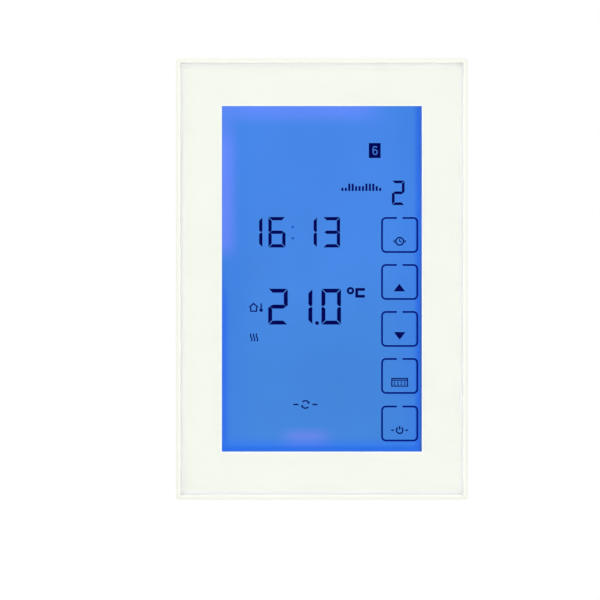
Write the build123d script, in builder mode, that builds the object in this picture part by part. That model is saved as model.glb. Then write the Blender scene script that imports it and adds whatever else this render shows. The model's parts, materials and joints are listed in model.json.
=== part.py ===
from build123d import *
import os
from math import radians, sin

# Touch-screen wall thermostat, in millimetres.
# The wall is the plane Y = 0. The face looks along -Y, +X is right and +Z is up.
# "out" is a distance from the wall into the room, and "deep" a distance into the wall box.

# ---- Driving dimensions: face and front module ----
plate_width = 76.0
plate_height = 115.0
plate_depth = 15.5
plate_corner = 0.8
plate_edge = 0.3
frame_wall = 1.8
rim_width = 0.9
rim_proud = 0.1
vent_count = 9
vent_pitch = 3.4
vent_width = 1.6
vent_length = 4.6
rear_rim_gap = 0.3
shelf_thickness = 1.5
pry_notch_width = 7.0
pry_notch_height = 1.2
pry_notch_depth = 1.0

window_width = 52.2
window_height = 90.2
glass_thickness = 2.0
glass_gap = 0.1
glass_corner = 0.5
glass_edge = 0.2
print_thickness = 0.1
print_margin = 0.1
tape_thickness = 0.2
tape_margin = 0.8
film_margin = 2.9

polariser_thickness = 0.2
polariser_margin = 1.7
lcd_glass_thickness = 1.1
lcd_margin = 2.5
air_gap = 0.2
diffuser_gap = 0.1
diffuser_thickness = 0.2
guide_margin = 0.2
guide_thickness = 2.4
reflector_thickness = 0.1
strip_width = 1.8
strip_gap = 0.3
strip_margin = 3.5
led_width = 2.0
led_length = 3.5
led_height = 1.8
led_count = 6
led_pitch = 14.0
led_gap = 0.2
tray_gap = 0.2
tray_wall = 1.2
tray_floor = 0.8
tray_shelf_gap = 0.5

board_side_gap = 1.2
board_end_gap = 2.2
board_thickness = 1.2
board_gap = 0.1
post_radius = 2.0
post_inset = 2.4
cover_rear_out = 1.4
cover_thickness = 1.2
cover_lip = 1.0
cover_lip_gap = 0.2
cover_boss_radius = 3.0
cover_vent_count = 3
cover_vent_pitch = 2.6
cover_vent_length = 9.0
cover_vent_width = 1.2
cover_vent_x = 14.0

tail_width = 12.0
tail_thickness = 0.15
tail_overlap = 2.0
chip_x = -13.0
chip_z = 24.0
chip_size = 10.0
chip_thickness = 1.4
chip_legs_per_side = 12
chip_leg_pitch = 0.65
chip_leg_reach = 1.0
touch_chip_x = 12.0
touch_chip_z = 25.0
touch_chip_size = 5.0
touch_chip_thickness = 0.9
crystal_length = 6.0
crystal_radius = 1.0
cell_x = 20.0
cell_z = -16.0
cell_radius = 6.25
cell_thickness = 1.6
cell_edge = 0.3
cell_base = 0.5
cell_wall = 0.8
cell_clear = 0.15
cell_holder_height = 1.46
buzzer_x = -20.0
buzzer_z = -14.0
buzzer_size = 9.0
buzzer_height = 1.9
buzzer_hole = 0.8
sensor_radius = 0.9
sensor_length = 2.4
sensor_edge = 0.72
sensor_rise = 3.0
small_part_rows = [(-22.0, 6.0), (22.0, 6.0), (0.0, -8.0), (-2.0, -24.0), (24.0, 30.0)]
small_part_pitch_x = 2.4
small_part_pitch_z = 3.2
small_part_width = 1.2
small_part_length = 2.0
small_part_height = 0.6

# ---- Driving dimensions: header between the modules ----
pin_count = 8
pin_pitch = 2.54
pin_size = 0.64
pin_clearance = 0.1
pin_out = 4.6
socket_width = 5.0
socket_out = 1.7
header_z = 8.0
header_gap = 0.8

# ---- Driving dimensions: wall plate ----
yoke_width = 70.0
yoke_height = 104.0
yoke_thickness = 1.2
yoke_corner = 3.0
yoke_slot_length = 10.0
yoke_slot_width = 4.0
fold_width = 1.0
fold_gap = 0.1
fixing_centres = 84.0
fixing_radius = 2.0
fixing_head_radius = 4.5
tab_width = 8.0
tab_spacing = 40.0
tab_out = 4.5
tab_thickness = 0.9
rib_width = 6.0
rib_out = 1.2
rib_depth = 2.0
slide_gap = 0.3
notch_gap = 0.6

# ---- Driving dimensions: wall-box housing ----
housing_width = 52.0
housing_height = 66.0
housing_depth = 27.0
housing_wall = 1.6
housing_corner = 2.0
ledge_depth = 9.6
lid_thickness = 1.5
lid_gap = 0.2
power_board_deep = 3.0
power_board_thickness = 1.6
boss_radius = 3.0
boss_inset = 2.6
spacer_radius = 2.2
lower_boss_z = -13.5
side_vent_count = 6
side_vent_pitch = 4.0
side_vent_length = 10.0
side_vent_width = 1.4
side_vent_deep = 16.2
label_width = 38.0
label_height = 28.0
label_corner = 1.0
label_recess = 0.3

# ---- Driving dimensions: terminals ----
ways = 6
way_pitch = 7.5
way_wall = 1.2
block_height = 12.0
block_rear_wall = 0.8
block_end_wall = 1.2
block_top_wall = 1.0
block_drop = 1.2
block_gap = 0.3
block_edge = 0.4
notch_lead = 0.1
cage_wall = 0.9
cage_length = 6.5
cage_gap = 0.3
cage_rest_gap = 0.2
cage_bottom = 1.0
cage_nut = 1.5
wire_gap = 3.9
tongue_thickness = 0.8
tongue_to_nut = 0.4
terminal_travel = 2.8
terminal_screw_radius = 0.2 * way_pitch
terminal_head_radius = 0.7 + terminal_screw_radius
terminal_head_height = 1.8
terminal_head_gap = 0.2
terminal_access_radius = terminal_head_radius - 0.3
thread_clearance = 0.15
slot_width = 0.7
slot_depth = 0.8

# ---- Driving dimensions: screws ----
cover_screw_radius = 1.0
cover_head_radius = 1.9
cover_head_height = 1.2
cover_head_seat = 1.4
cover_screw_reach = 3.6
cover_cross_width = 0.5
yoke_screw_radius = 1.25
yoke_head_radius = 2.35
yoke_screw_deep = 12.0
yoke_cross_width = 0.6
yoke_hole_spare = 1.0
cross_share = 0.6
screw_clearance = 0.05
hole_clearance = 0.15

# ---- Driving dimensions: relay ----
relay_length = 19.0
relay_width = 15.5
relay_height = 15.6
relay_x = -8.0
relay_z = -5.8
relay_base_thickness = 1.5
relay_cover_wall = 0.8
relay_iron = 1.0
relay_iron_width = 9.0
relay_leg_inset = 1.2
relay_core_radius = 1.6
relay_pole_radius = 2.5
relay_pole_thickness = 0.6
relay_headroom = 1.45
bobbin_flange = 9.0
bobbin_flange_thickness = 0.7
bobbin_tube_radius = 2.2
winding_radius = 4.2
armature_thickness = 0.8
armature_pole_gap = 0.7
armature_leg_gap = 0.1
armature_angle = 4.0
armature_length = 13.5
leaf_length = 16.2
leaf_thickness = 0.25
leaf_width = 4.0
contact_radius = 0.9
contact_height = 0.8
contact_reach = 15.0
contact_spare = 0.1
contact_tab = 0.5
contact_post_offset = 1.2

# ---- Driving dimensions: other mains parts ----
film_cap_length = 15.0
film_cap_width = 8.5
film_cap_height = 13.0
film_cap_gap = 2.0
varistor_radius = 4.0
varistor_thickness = 3.0
varistor_edge = 0.9
fuse_radius = 4.2
fuse_height = 7.6
fuse_shift = 3.0
fuse_rise = 9.0
transformer_x = -13.0
transformer_z = 14.0
transformer_length = 14.0
transformer_width = 13.0
transformer_height = 12.0
core_band = 4.0
can_x = 0.5
can_rise = 3.2
can_pitch = 9.0
can_radii = [4.0, 4.0, 3.15]
can_heights = [11.5, 11.5, 11.0]
part_corner = 0.6

# ---- Levels out from the wall, front to back ----
glass_front = plate_depth - rim_proud
glass_back = glass_front - glass_thickness
print_back = glass_back - print_thickness
shelf_front = print_back - tape_thickness
shelf_back = shelf_front - shelf_thickness
polariser_front = shelf_front - air_gap
lcd_front = polariser_front - polariser_thickness
lcd_middle = lcd_front - lcd_glass_thickness
lcd_back = lcd_middle - lcd_glass_thickness
rear_polariser_back = lcd_back - polariser_thickness
diffuser_front = rear_polariser_back - diffuser_gap
guide_front = diffuser_front - diffuser_thickness
guide_back = guide_front - guide_thickness
tray_front = guide_back - reflector_thickness
tray_back = tray_front - tray_floor
board_front = tray_back - board_gap
board_back = board_front - board_thickness
cover_front = cover_rear_out + cover_thickness

# ---- Outlines of the front module ----
recess_width = plate_width - 2 * rim_width
recess_height = plate_height - 2 * rim_width
cavity_width = plate_width - 2 * frame_wall
cavity_height = plate_height - 2 * frame_wall
glass_width = recess_width - 2 * glass_gap
glass_height = recess_height - 2 * glass_gap
lcd_width = window_width + 2 * lcd_margin
lcd_height = window_height + 2 * lcd_margin
tray_inner_width = lcd_width + 2 * tray_gap
tray_inner_height = lcd_height + 2 * tray_gap
tray_width = tray_inner_width + 2 * tray_wall
tray_height = tray_inner_height + 2 * tray_wall
shelf_open_width = tray_width + 2 * tray_shelf_gap
shelf_open_height = tray_height + 2 * tray_shelf_gap
film_width = window_width + 2 * film_margin
film_height = window_height + 2 * film_margin
guide_width = window_width + 2 * guide_margin
guide_height = window_height + 2 * guide_margin
board_width = cavity_width - 2 * board_side_gap
board_height = cavity_height - 2 * board_end_gap
post_x = board_width / 2 - post_inset
post_z = board_height / 2 - post_inset
header_length = pin_count * pin_pitch
socket_length = header_length + 2 * header_gap
socket_bore = pin_size + 2 * pin_clearance
tab_face_z = yoke_height / 2
rib_z = tab_face_z + slide_gap

# ---- Outlines of the wall-box housing ----
inner_width = housing_width - 2 * housing_wall
inner_height = housing_height - 2 * housing_wall
board_rear_deep = power_board_deep + power_board_thickness
lid_width = inner_width - 2 * lid_gap
lid_height = inner_height - 2 * lid_gap
boss_x = inner_width / 2 - boss_inset
upper_boss_z = inner_height / 2 - boss_inset
boss_points = [(x, z) for x in (-boss_x, boss_x) for z in (lower_boss_z, upper_boss_z)]
block_width = ways * way_pitch + way_wall
block_bottom = -lid_height / 2 - block_drop
block_top = block_bottom + block_height
main_bottom = block_top + block_gap
way_centres = [(way - (ways - 1) / 2) * way_pitch for way in range(ways)]

# ---- Depths in the terminals, from the board towards the back of the wall box ----
cage_outer_width = way_pitch - way_wall - 2 * cage_gap
cage_inner_width = cage_outer_width - 2 * cage_wall
cage_front = board_rear_deep + cage_rest_gap
wire_front = cage_front + cage_bottom
tongue_front = wire_front + wire_gap
tongue_rear = tongue_front + tongue_thickness
nut_front = tongue_rear + tongue_to_nut
cage_rear = nut_front + cage_nut
pocket_rear = cage_rear + terminal_travel + terminal_head_gap / 2
head_front = cage_rear + terminal_travel + terminal_head_gap
head_rear = head_front + terminal_head_height
chamber_rear = head_rear + terminal_head_gap
block_rear = chamber_rear + block_rear_wall
screw_tip = tongue_rear + terminal_head_gap / 2
pocket_bottom = block_bottom + block_end_wall
pocket_top = block_top - block_top_wall
cage_low_z = pocket_bottom + cage_gap
screw_z = cage_low_z + cage_length / 2

# ---- Depths in the relay ----
iron_deep = board_rear_deep + relay_base_thickness
core_deep = iron_deep + relay_iron
relay_inner_rear = board_rear_deep + relay_height - relay_cover_wall
armature_deep = relay_inner_rear - relay_headroom - leaf_thickness - armature_thickness
pole_deep = armature_deep - armature_pole_gap
leg_end_deep = armature_deep - armature_leg_gap
leg_x = relay_x + relay_length / 2 - relay_leg_inset - relay_iron / 2
coil_x = leg_x - relay_iron / 2 - bobbin_flange / 2 - 2 * air_gap
contact_x = leg_x - contact_reach
contact_drop = contact_reach * sin(radians(armature_angle))
fixed_contact_deep = armature_deep - contact_drop - contact_spare


def wall_plane(out):
    """Plane parallel to the wall, facing the room."""
    return Plane.XZ.offset(out)


def box_plane(deep):
    """Plane parallel to the wall, inside the wall box."""
    return Plane.XZ.offset(-deep)


pieces = {}

# ======== Front module ========

with BuildPart() as front_frame:
    with BuildSketch(wall_plane(rear_rim_gap)):
        RectangleRounded(plate_width, plate_height, plate_corner)
    extrude(amount=plate_depth - rear_rim_gap)
    fillet(front_frame.edges().group_by(Axis.Y)[0], plate_edge)
    with BuildSketch(wall_plane(shelf_front)):
        RectangleRounded(recess_width, recess_height, glass_corner)
    extrude(amount=plate_depth - shelf_front, mode=Mode.SUBTRACT)
    with BuildSketch(wall_plane(rear_rim_gap)):
        Rectangle(cavity_width, cavity_height)
    extrude(amount=shelf_back - rear_rim_gap, mode=Mode.SUBTRACT)
    with BuildSketch(wall_plane(shelf_back)):
        Rectangle(shelf_open_width, shelf_open_height)
    extrude(amount=shelf_thickness, mode=Mode.SUBTRACT)
    # Screw posts behind the shelf
    with BuildSketch(wall_plane(board_front)):
        with GridLocations(2 * post_x, 2 * post_z, 2, 2):
            Circle(post_radius)
            Circle(cover_screw_radius + screw_clearance, mode=Mode.SUBTRACT)
    extrude(amount=shelf_back - board_front)
    # Snap ribs inside the top and bottom walls
    for side in (-1, 1):
        rib_middle = side * (rib_z + cavity_height / 2) / 2
        with BuildSketch(wall_plane(rib_out)):
            with Locations((-tab_spacing / 2, rib_middle), (tab_spacing / 2, rib_middle)):
                Rectangle(rib_width, cavity_height / 2 - rib_z)
        extrude(amount=rib_depth)
    # Air slots through the top and bottom walls
    vent_out = (cover_front + board_back) / 2
    with BuildSketch(Plane.XY):
        with Locations((0, -vent_out)):
            with GridLocations(vent_pitch, 0, vent_count, 1):
                SlotOverall(vent_length, vent_width, rotation=90)
    extrude(amount=plate_height, both=True, mode=Mode.SUBTRACT)
    # Two pry notches at the lower rear edge
    with BuildSketch(wall_plane(rear_rim_gap)):
        with Locations((-tab_spacing / 2, -plate_height / 2), (tab_spacing / 2, -plate_height / 2)):
            Rectangle(pry_notch_width, 2 * pry_notch_height)
    extrude(amount=pry_notch_depth, mode=Mode.SUBTRACT)
pieces["front_frame"] = front_frame

with BuildPart() as cover_glass:
    with BuildSketch(wall_plane(glass_back)):
        RectangleRounded(glass_width, glass_height, glass_corner)
    extrude(amount=glass_thickness)
    chamfer(cover_glass.edges().group_by(Axis.Y)[0], glass_edge)
pieces["cover_glass"] = cover_glass

with BuildPart() as border_print:
    with BuildSketch(wall_plane(print_back)):
        Rectangle(glass_width - 2 * print_margin, glass_height - 2 * print_margin)
        Rectangle(window_width, window_height, mode=Mode.SUBTRACT)
    extrude(amount=print_thickness)
pieces["border_print"] = border_print

with BuildPart() as glass_tape:
    with BuildSketch(wall_plane(shelf_front)):
        Rectangle(recess_width - 2 * tape_margin, recess_height - 2 * tape_margin)
        Rectangle(shelf_open_width, shelf_open_height, mode=Mode.SUBTRACT)
    extrude(amount=tape_thickness)
pieces["glass_tape"] = glass_tape

with BuildPart() as touch_film:
    with BuildSketch(wall_plane(shelf_front)):
        Rectangle(film_width, film_height)
    extrude(amount=tape_thickness)
pieces["touch_film"] = touch_film

# Ribbon from the film's lower edge, round the tray and back to the control board
tail_top = -film_height / 2 + tail_overlap
tail_z = -(tray_height + shelf_open_height) / 4 - tail_thickness / 2
with BuildPart() as touch_tail:
    with BuildSketch(Plane.YZ):
        with BuildLine():
            Polyline(
                (-shelf_front, tail_top),
                (-shelf_front, tail_z),
                (-board_front, tail_z),
                (-board_front, tail_z + tail_thickness),
                (-shelf_front + tail_thickness, tail_z + tail_thickness),
                (-shelf_front + tail_thickness, tail_top),
                close=True,
            )
        make_face()
    extrude(amount=tail_width / 2, both=True)
pieces["touch_tail"] = touch_tail

with BuildPart() as front_polariser:
    with BuildSketch(wall_plane(lcd_front)):
        Rectangle(window_width + 2 * polariser_margin, window_height + 2 * polariser_margin)
    extrude(amount=polariser_thickness)
pieces["front_polariser"] = front_polariser

with BuildPart() as lcd_front_glass:
    with BuildSketch(wall_plane(lcd_middle)):
        Rectangle(lcd_width, lcd_height)
    extrude(amount=lcd_glass_thickness)
pieces["lcd_front_glass"] = lcd_front_glass

with BuildPart() as lcd_rear_glass:
    with BuildSketch(wall_plane(lcd_back)):
        Rectangle(lcd_width, lcd_height)
    extrude(amount=lcd_glass_thickness)
pieces["lcd_rear_glass"] = lcd_rear_glass

with BuildPart() as rear_polariser:
    with BuildSketch(wall_plane(rear_polariser_back)):
        Rectangle(window_width + 2 * polariser_margin, guide_height)
    extrude(amount=polariser_thickness)
pieces["rear_polariser"] = rear_polariser

# Striped rubber contact strips between the rear glass and the control board
strip_z = guide_height / 2 + strip_gap + strip_width / 2
strip_length = lcd_width - 2 * strip_margin
with BuildPart() as contact_strips:
    with BuildSketch(wall_plane(board_front)):
        with GridLocations(0, 2 * strip_z, 1, 2):
            Rectangle(strip_length, strip_width)
    extrude(amount=lcd_back - board_front)
pieces["contact_strips"] = contact_strips

with BuildPart() as diffuser_sheet:
    with BuildSketch(wall_plane(guide_front)):
        Rectangle(guide_width, guide_height)
    extrude(amount=diffuser_thickness)
pieces["diffuser_sheet"] = diffuser_sheet

with BuildPart() as light_guide:
    with BuildSketch(wall_plane(guide_back)):
        Rectangle(guide_width, guide_height)
    extrude(amount=guide_thickness)
pieces["light_guide"] = light_guide

with BuildPart() as reflector_sheet:
    with BuildSketch(wall_plane(tray_front)):
        Rectangle(guide_width, guide_height)
    extrude(amount=reflector_thickness)
pieces["reflector_sheet"] = reflector_sheet

with BuildPart() as backlight_leds:
    with BuildSketch(wall_plane(tray_front)):
        with GridLocations(guide_width + 2 * led_gap + led_width, led_pitch, 2, led_count):
            Rectangle(led_width, led_length)
    extrude(amount=led_height)
pieces["backlight_leds"] = backlight_leds

# White tray that holds the display stack
with BuildPart() as backlight_frame:
    with BuildSketch(wall_plane(tray_back)):
        RectangleRounded(tray_width, tray_height, part_corner)
    extrude(amount=lcd_front - tray_back)
    with BuildSketch(wall_plane(tray_front)):
        Rectangle(tray_inner_width, tray_inner_height)
    extrude(amount=lcd_front - tray_front, mode=Mode.SUBTRACT)
    with BuildSketch(wall_plane(tray_back)):
        with GridLocations(0, 2 * strip_z, 1, 2):
            Rectangle(strip_length + 2 * tray_gap, strip_width + 2 * tray_gap)
    extrude(amount=tray_floor, mode=Mode.SUBTRACT)
pieces["backlight_frame"] = backlight_frame

with BuildPart() as control_board:
    with BuildSketch(wall_plane(board_back)):
        RectangleRounded(board_width, board_height, part_corner)
        with GridLocations(2 * post_x, 2 * post_z, 2, 2):
            Circle(cover_screw_radius + hole_clearance, mode=Mode.SUBTRACT)
    extrude(amount=board_thickness)
pieces["control_board"] = control_board

# ---- Parts behind the control board ----
with BuildPart() as control_chips:
    with Locations((chip_x, -board_back + chip_thickness / 2, chip_z)):
        Box(chip_size, chip_thickness, chip_size)
    leg_offset = (chip_size + chip_leg_reach) / 2
    with BuildSketch(box_plane(-board_back)):
        with Locations((chip_x, chip_z)):
            with GridLocations(chip_leg_pitch, 2 * leg_offset, chip_legs_per_side, 2):
                Rectangle(chip_leg_pitch / 2, chip_leg_reach)
            with GridLocations(2 * leg_offset, chip_leg_pitch, 2, chip_legs_per_side):
                Rectangle(chip_leg_reach, chip_leg_pitch / 2)
    extrude(amount=-chip_thickness / 2)
    with Locations((touch_chip_x, -board_back + touch_chip_thickness / 2, touch_chip_z)):
        Box(touch_chip_size, touch_chip_thickness, touch_chip_size)
pieces["control_chips"] = control_chips

with BuildPart() as clock_crystal:
    with BuildSketch(Plane.XY.offset(chip_z - crystal_length / 2)):
        with Locations((0, -board_back + crystal_radius)):
            Circle(crystal_radius)
    extrude(amount=crystal_length)
pieces["clock_crystal"] = clock_crystal

with BuildPart() as cell_holder:
    with BuildSketch(wall_plane(board_back)):
        with Locations((cell_x, cell_z)):
            Circle(cell_radius + cell_clear + cell_wall)
    extrude(amount=-cell_holder_height)
    with BuildSketch(wall_plane(board_back - cell_base)):
        with Locations((cell_x, cell_z)):
            Circle(cell_radius + cell_clear)
    extrude(amount=-cell_thickness, mode=Mode.SUBTRACT)
pieces["cell_holder"] = cell_holder

with BuildPart() as backup_cell:
    with BuildSketch(wall_plane(board_back - cell_base)):
        with Locations((cell_x, cell_z)):
            Circle(cell_radius)
    extrude(amount=-cell_thickness)
    fillet(backup_cell.edges().group_by(Axis.Y)[-1], cell_edge)
pieces["backup_cell"] = backup_cell

with BuildPart() as buzzer:
    with BuildSketch(wall_plane(board_back)):
        with Locations((buzzer_x, buzzer_z)):
            RectangleRounded(buzzer_size, buzzer_size, part_corner)
    extrude(amount=-buzzer_height)
    with BuildSketch(wall_plane(board_back - buzzer_height)):
        with Locations((buzzer_x, buzzer_z)):
            Circle(buzzer_hole)
    extrude(amount=buzzer_height / 2, mode=Mode.SUBTRACT)
pieces["buzzer"] = buzzer

# Bead that reads the room air, close to the lower air slots
sensor_z = -board_height / 2 + sensor_rise
with BuildPart() as air_sensor:
    with BuildSketch(Plane.YZ):
        with Locations((-board_back + sensor_radius, sensor_z)):
            Circle(sensor_radius)
    extrude(amount=sensor_length / 2, both=True)
    fillet(air_sensor.edges(), sensor_edge)
pieces["air_sensor"] = air_sensor

with BuildPart() as header_socket:
    with BuildSketch(wall_plane(socket_out)):
        with Locations((0, header_z)):
            Rectangle(socket_length, socket_width)
            with GridLocations(pin_pitch, 0, pin_count, 1):
                Rectangle(socket_bore, socket_bore, mode=Mode.SUBTRACT)
    extrude(amount=board_back - socket_out)
pieces["header_socket"] = header_socket

with BuildPart() as control_small_parts:
    with BuildSketch(wall_plane(board_back)):
        for row_x, row_z in small_part_rows:
            with Locations((row_x, row_z)):
                with GridLocations(small_part_pitch_x, small_part_pitch_z, 3, 2):
                    Rectangle(small_part_width, small_part_length)
    extrude(amount=-small_part_height)
pieces["control_small_parts"] = control_small_parts

# Rear cover of the front module, a shallow tray with screw bosses
cover_notch_height = board_height - 2 * (tab_face_z - tab_thickness - notch_gap)
with BuildPart() as module_cover:
    with BuildSketch(wall_plane(cover_rear_out)):
        RectangleRounded(board_width, board_height, part_corner)
    extrude(amount=board_back - cover_lip_gap - cover_rear_out)
    with BuildSketch(wall_plane(cover_front)):
        Rectangle(board_width - 2 * cover_lip, board_height - 2 * cover_lip)
    extrude(amount=board_back - cover_front, mode=Mode.SUBTRACT)
    with BuildSketch(wall_plane(cover_front)):
        with GridLocations(2 * post_x, 2 * post_z, 2, 2):
            Circle(cover_boss_radius)
    extrude(amount=board_back - cover_front)
    with BuildSketch(wall_plane(cover_rear_out)):
        with GridLocations(2 * post_x, 2 * post_z, 2, 2):
            Circle(cover_screw_radius + hole_clearance)
        with GridLocations(0, fixing_centres, 1, 2):
            Circle(fixing_head_radius)
        with Locations((0, header_z)):
            Rectangle(socket_length + 2 * lid_gap, socket_width + 2 * lid_gap)
        with GridLocations(tab_spacing, board_height, 2, 2):
            Rectangle(tab_width + 2 * notch_gap, cover_notch_height)
        with Locations((-cover_vent_x, -fixing_centres / 2), (cover_vent_x, -fixing_centres / 2)):
            with GridLocations(cover_vent_pitch, 0, cover_vent_count, 1):
                SlotOverall(cover_vent_length, cover_vent_width, rotation=90)
    extrude(amount=board_back - cover_rear_out, mode=Mode.SUBTRACT)
    with BuildSketch(wall_plane(cover_rear_out)):
        with GridLocations(2 * post_x, 2 * post_z, 2, 2):
            Circle(cover_head_radius + hole_clearance)
    extrude(amount=cover_head_seat, mode=Mode.SUBTRACT)
pieces["module_cover"] = module_cover

head_seat_out = cover_rear_out + cover_head_seat
with BuildPart() as cover_screws:
    with BuildSketch(wall_plane(head_seat_out)):
        with GridLocations(2 * post_x, 2 * post_z, 2, 2):
            Circle(cover_screw_radius)
    extrude(amount=board_front + cover_screw_reach - head_seat_out)
    with BuildSketch(wall_plane(head_seat_out)):
        with GridLocations(2 * post_x, 2 * post_z, 2, 2):
            Circle(cover_head_radius)
    extrude(amount=-cover_head_height)
    with BuildSketch(wall_plane(head_seat_out - cover_head_height)):
        with GridLocations(2 * post_x, 2 * post_z, 2, 2):
            Rectangle(2 * cross_share * cover_head_radius, cover_cross_width)
            Rectangle(cover_cross_width, 2 * cross_share * cover_head_radius)
    extrude(amount=cover_head_height / 2, mode=Mode.SUBTRACT)
pieces["cover_screws"] = cover_screws

# ======== Wall plate ========

with BuildPart() as mounting_yoke:
    with BuildSketch(wall_plane(0)):
        RectangleRounded(yoke_width, yoke_height, yoke_corner)
        with GridLocations(0, fixing_centres, 1, 2):
            Circle(fixing_radius, mode=Mode.SUBTRACT)
        with Locations((0, header_z)):
            Rectangle(socket_length, socket_width, mode=Mode.SUBTRACT)
        # Slots beside the fixing holes, which make the plate lighter
        with GridLocations(tab_spacing, fixing_centres, 2, 2):
            SlotOverall(yoke_slot_length, yoke_slot_width, mode=Mode.SUBTRACT)
    extrude(amount=yoke_thickness)
    # Folded spring tabs at the top and bottom edges
    tab_middle = yoke_height - tab_thickness
    with BuildSketch(wall_plane(0)):
        with GridLocations(tab_spacing, tab_middle, 2, 2):
            Rectangle(tab_width, tab_thickness)
    extrude(amount=tab_out)
    # Stiffening folds along both sides
    with BuildSketch(wall_plane(yoke_thickness)):
        with GridLocations(yoke_width - fold_width, 0, 2, 1):
            Rectangle(fold_width, yoke_height - 4 * yoke_corner)
    extrude(amount=cover_rear_out - yoke_thickness - fold_gap)
    # Countersunk holes for the housing's screws
    for x, z in boss_points:
        with BuildSketch(wall_plane(yoke_thickness)):
            with Locations((x, z)):
                Circle(yoke_head_radius + screw_clearance)
        with BuildSketch(wall_plane(0)):
            with Locations((x, z)):
                Circle(yoke_screw_radius + screw_clearance)
        loft(mode=Mode.SUBTRACT)
pieces["mounting_yoke"] = mounting_yoke

with BuildPart() as yoke_screws:
    for x, z in boss_points:
        with BuildSketch(wall_plane(yoke_thickness)):
            with Locations((x, z)):
                Circle(yoke_head_radius)
        with BuildSketch(wall_plane(0)):
            with Locations((x, z)):
                Circle(yoke_screw_radius)
        loft()
        with BuildSketch(wall_plane(0)):
            with Locations((x, z)):
                Circle(yoke_screw_radius)
        extrude(amount=-yoke_screw_deep)
        with BuildSketch(wall_plane(yoke_thickness)):
            with Locations((x, z)):
                Rectangle(2 * cross_share * yoke_head_radius, yoke_cross_width)
                Rectangle(yoke_cross_width, 2 * cross_share * yoke_head_radius)
        extrude(amount=-yoke_thickness / 2, mode=Mode.SUBTRACT)
pieces["yoke_screws"] = yoke_screws

# ======== Wall-box housing ========

main_height = housing_height / 2 - main_bottom
main_middle = (housing_height / 2 + main_bottom) / 2
with BuildPart() as rear_housing:
    with BuildSketch(box_plane(0)):
        RectangleRounded(housing_width, housing_height, housing_corner)
    extrude(amount=-ledge_depth)
    with BuildSketch(box_plane(0)):
        with Locations((0, main_middle)):
            RectangleRounded(housing_width, main_height, housing_corner)
    extrude(amount=-housing_depth)
    fillet(rear_housing.faces().sort_by(Axis.Y)[-1].edges(), housing_wall / 2)
    # Shallow pocket for the rating label
    with BuildSketch(box_plane(housing_depth)):
        with Locations((0, main_middle)):
            RectangleRounded(label_width, label_height, label_corner)
    extrude(amount=label_recess, mode=Mode.SUBTRACT)
    with BuildSketch(box_plane(0)):
        Rectangle(inner_width, inner_height)
    extrude(amount=-(ledge_depth - housing_wall), mode=Mode.SUBTRACT)
    with BuildSketch(box_plane(0)):
        with Locations((0, main_middle)):
            Rectangle(inner_width, main_height - 2 * housing_wall)
    extrude(amount=-(housing_depth - housing_wall), mode=Mode.SUBTRACT)
    # Screw bosses from the back wall up to the board
    with BuildSketch(box_plane(housing_depth - housing_wall)):
        with Locations(*boss_points):
            Circle(boss_radius)
    extrude(amount=housing_depth - housing_wall - board_rear_deep)
    with BuildSketch(box_plane(board_rear_deep)):
        with Locations(*boss_points):
            Circle(yoke_screw_radius + screw_clearance)
    extrude(amount=-(yoke_screw_deep - board_rear_deep + yoke_hole_spare), mode=Mode.SUBTRACT)
    # Notch for the terminal block, open to the back and to the bottom
    notch_height = block_top + block_gap / 2 + housing_height / 2
    with BuildSketch(box_plane(board_rear_deep - notch_lead)):
        with Locations((0, -housing_height / 2 + notch_height / 2)):
            Rectangle(block_width + 2 * block_gap, notch_height)
    extrude(amount=-housing_depth, mode=Mode.SUBTRACT)
    # Air slots through both side walls
    with BuildSketch(Plane.YZ):
        with Locations((side_vent_deep, main_middle)):
            with GridLocations(0, side_vent_pitch, 1, side_vent_count):
                SlotOverall(side_vent_length, side_vent_width)
    extrude(amount=housing_width, both=True, mode=Mode.SUBTRACT)
pieces["rear_housing"] = rear_housing

with BuildPart() as housing_lid:
    with BuildSketch(box_plane(lid_thickness)):
        Rectangle(lid_width, lid_height)
    extrude(amount=lid_thickness)
    with BuildSketch(box_plane(lid_thickness)):
        with Locations(*boss_points):
            Circle(spacer_radius)
    extrude(amount=-(power_board_deep - lid_thickness))
    with BuildSketch(box_plane(power_board_deep)):
        with Locations(*boss_points):
            Circle(yoke_screw_radius + hole_clearance)
        with Locations((0, header_z)):
            Rectangle(header_length + 2 * lid_gap, pin_pitch + 2 * lid_gap)
    extrude(amount=power_board_deep, mode=Mode.SUBTRACT)
pieces["housing_lid"] = housing_lid

with BuildPart() as power_board:
    with BuildSketch(box_plane(board_rear_deep)):
        Rectangle(lid_width, lid_height)
        with Locations(*boss_points):
            Circle(yoke_screw_radius + hole_clearance, mode=Mode.SUBTRACT)
    extrude(amount=power_board_thickness)
pieces["power_board"] = power_board

with BuildPart() as header_pins:
    with BuildSketch(box_plane(power_board_deep)):
        with Locations((0, header_z)):
            Rectangle(header_length, pin_pitch)
    extrude(amount=power_board_deep - lid_gap)
    with BuildSketch(box_plane(power_board_deep)):
        with Locations((0, header_z)):
            with GridLocations(pin_pitch, 0, pin_count, 1):
                Rectangle(pin_size, pin_size)
    extrude(amount=power_board_deep + pin_out)
pieces["header_pins"] = header_pins

# ======== Relay ========

with BuildPart() as relay_base:
    with BuildSketch(box_plane(board_rear_deep)):
        with Locations((relay_x, relay_z)):
            Rectangle(relay_length, relay_width)
    extrude(amount=-relay_base_thickness)
pieces["relay_base"] = relay_base

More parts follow.
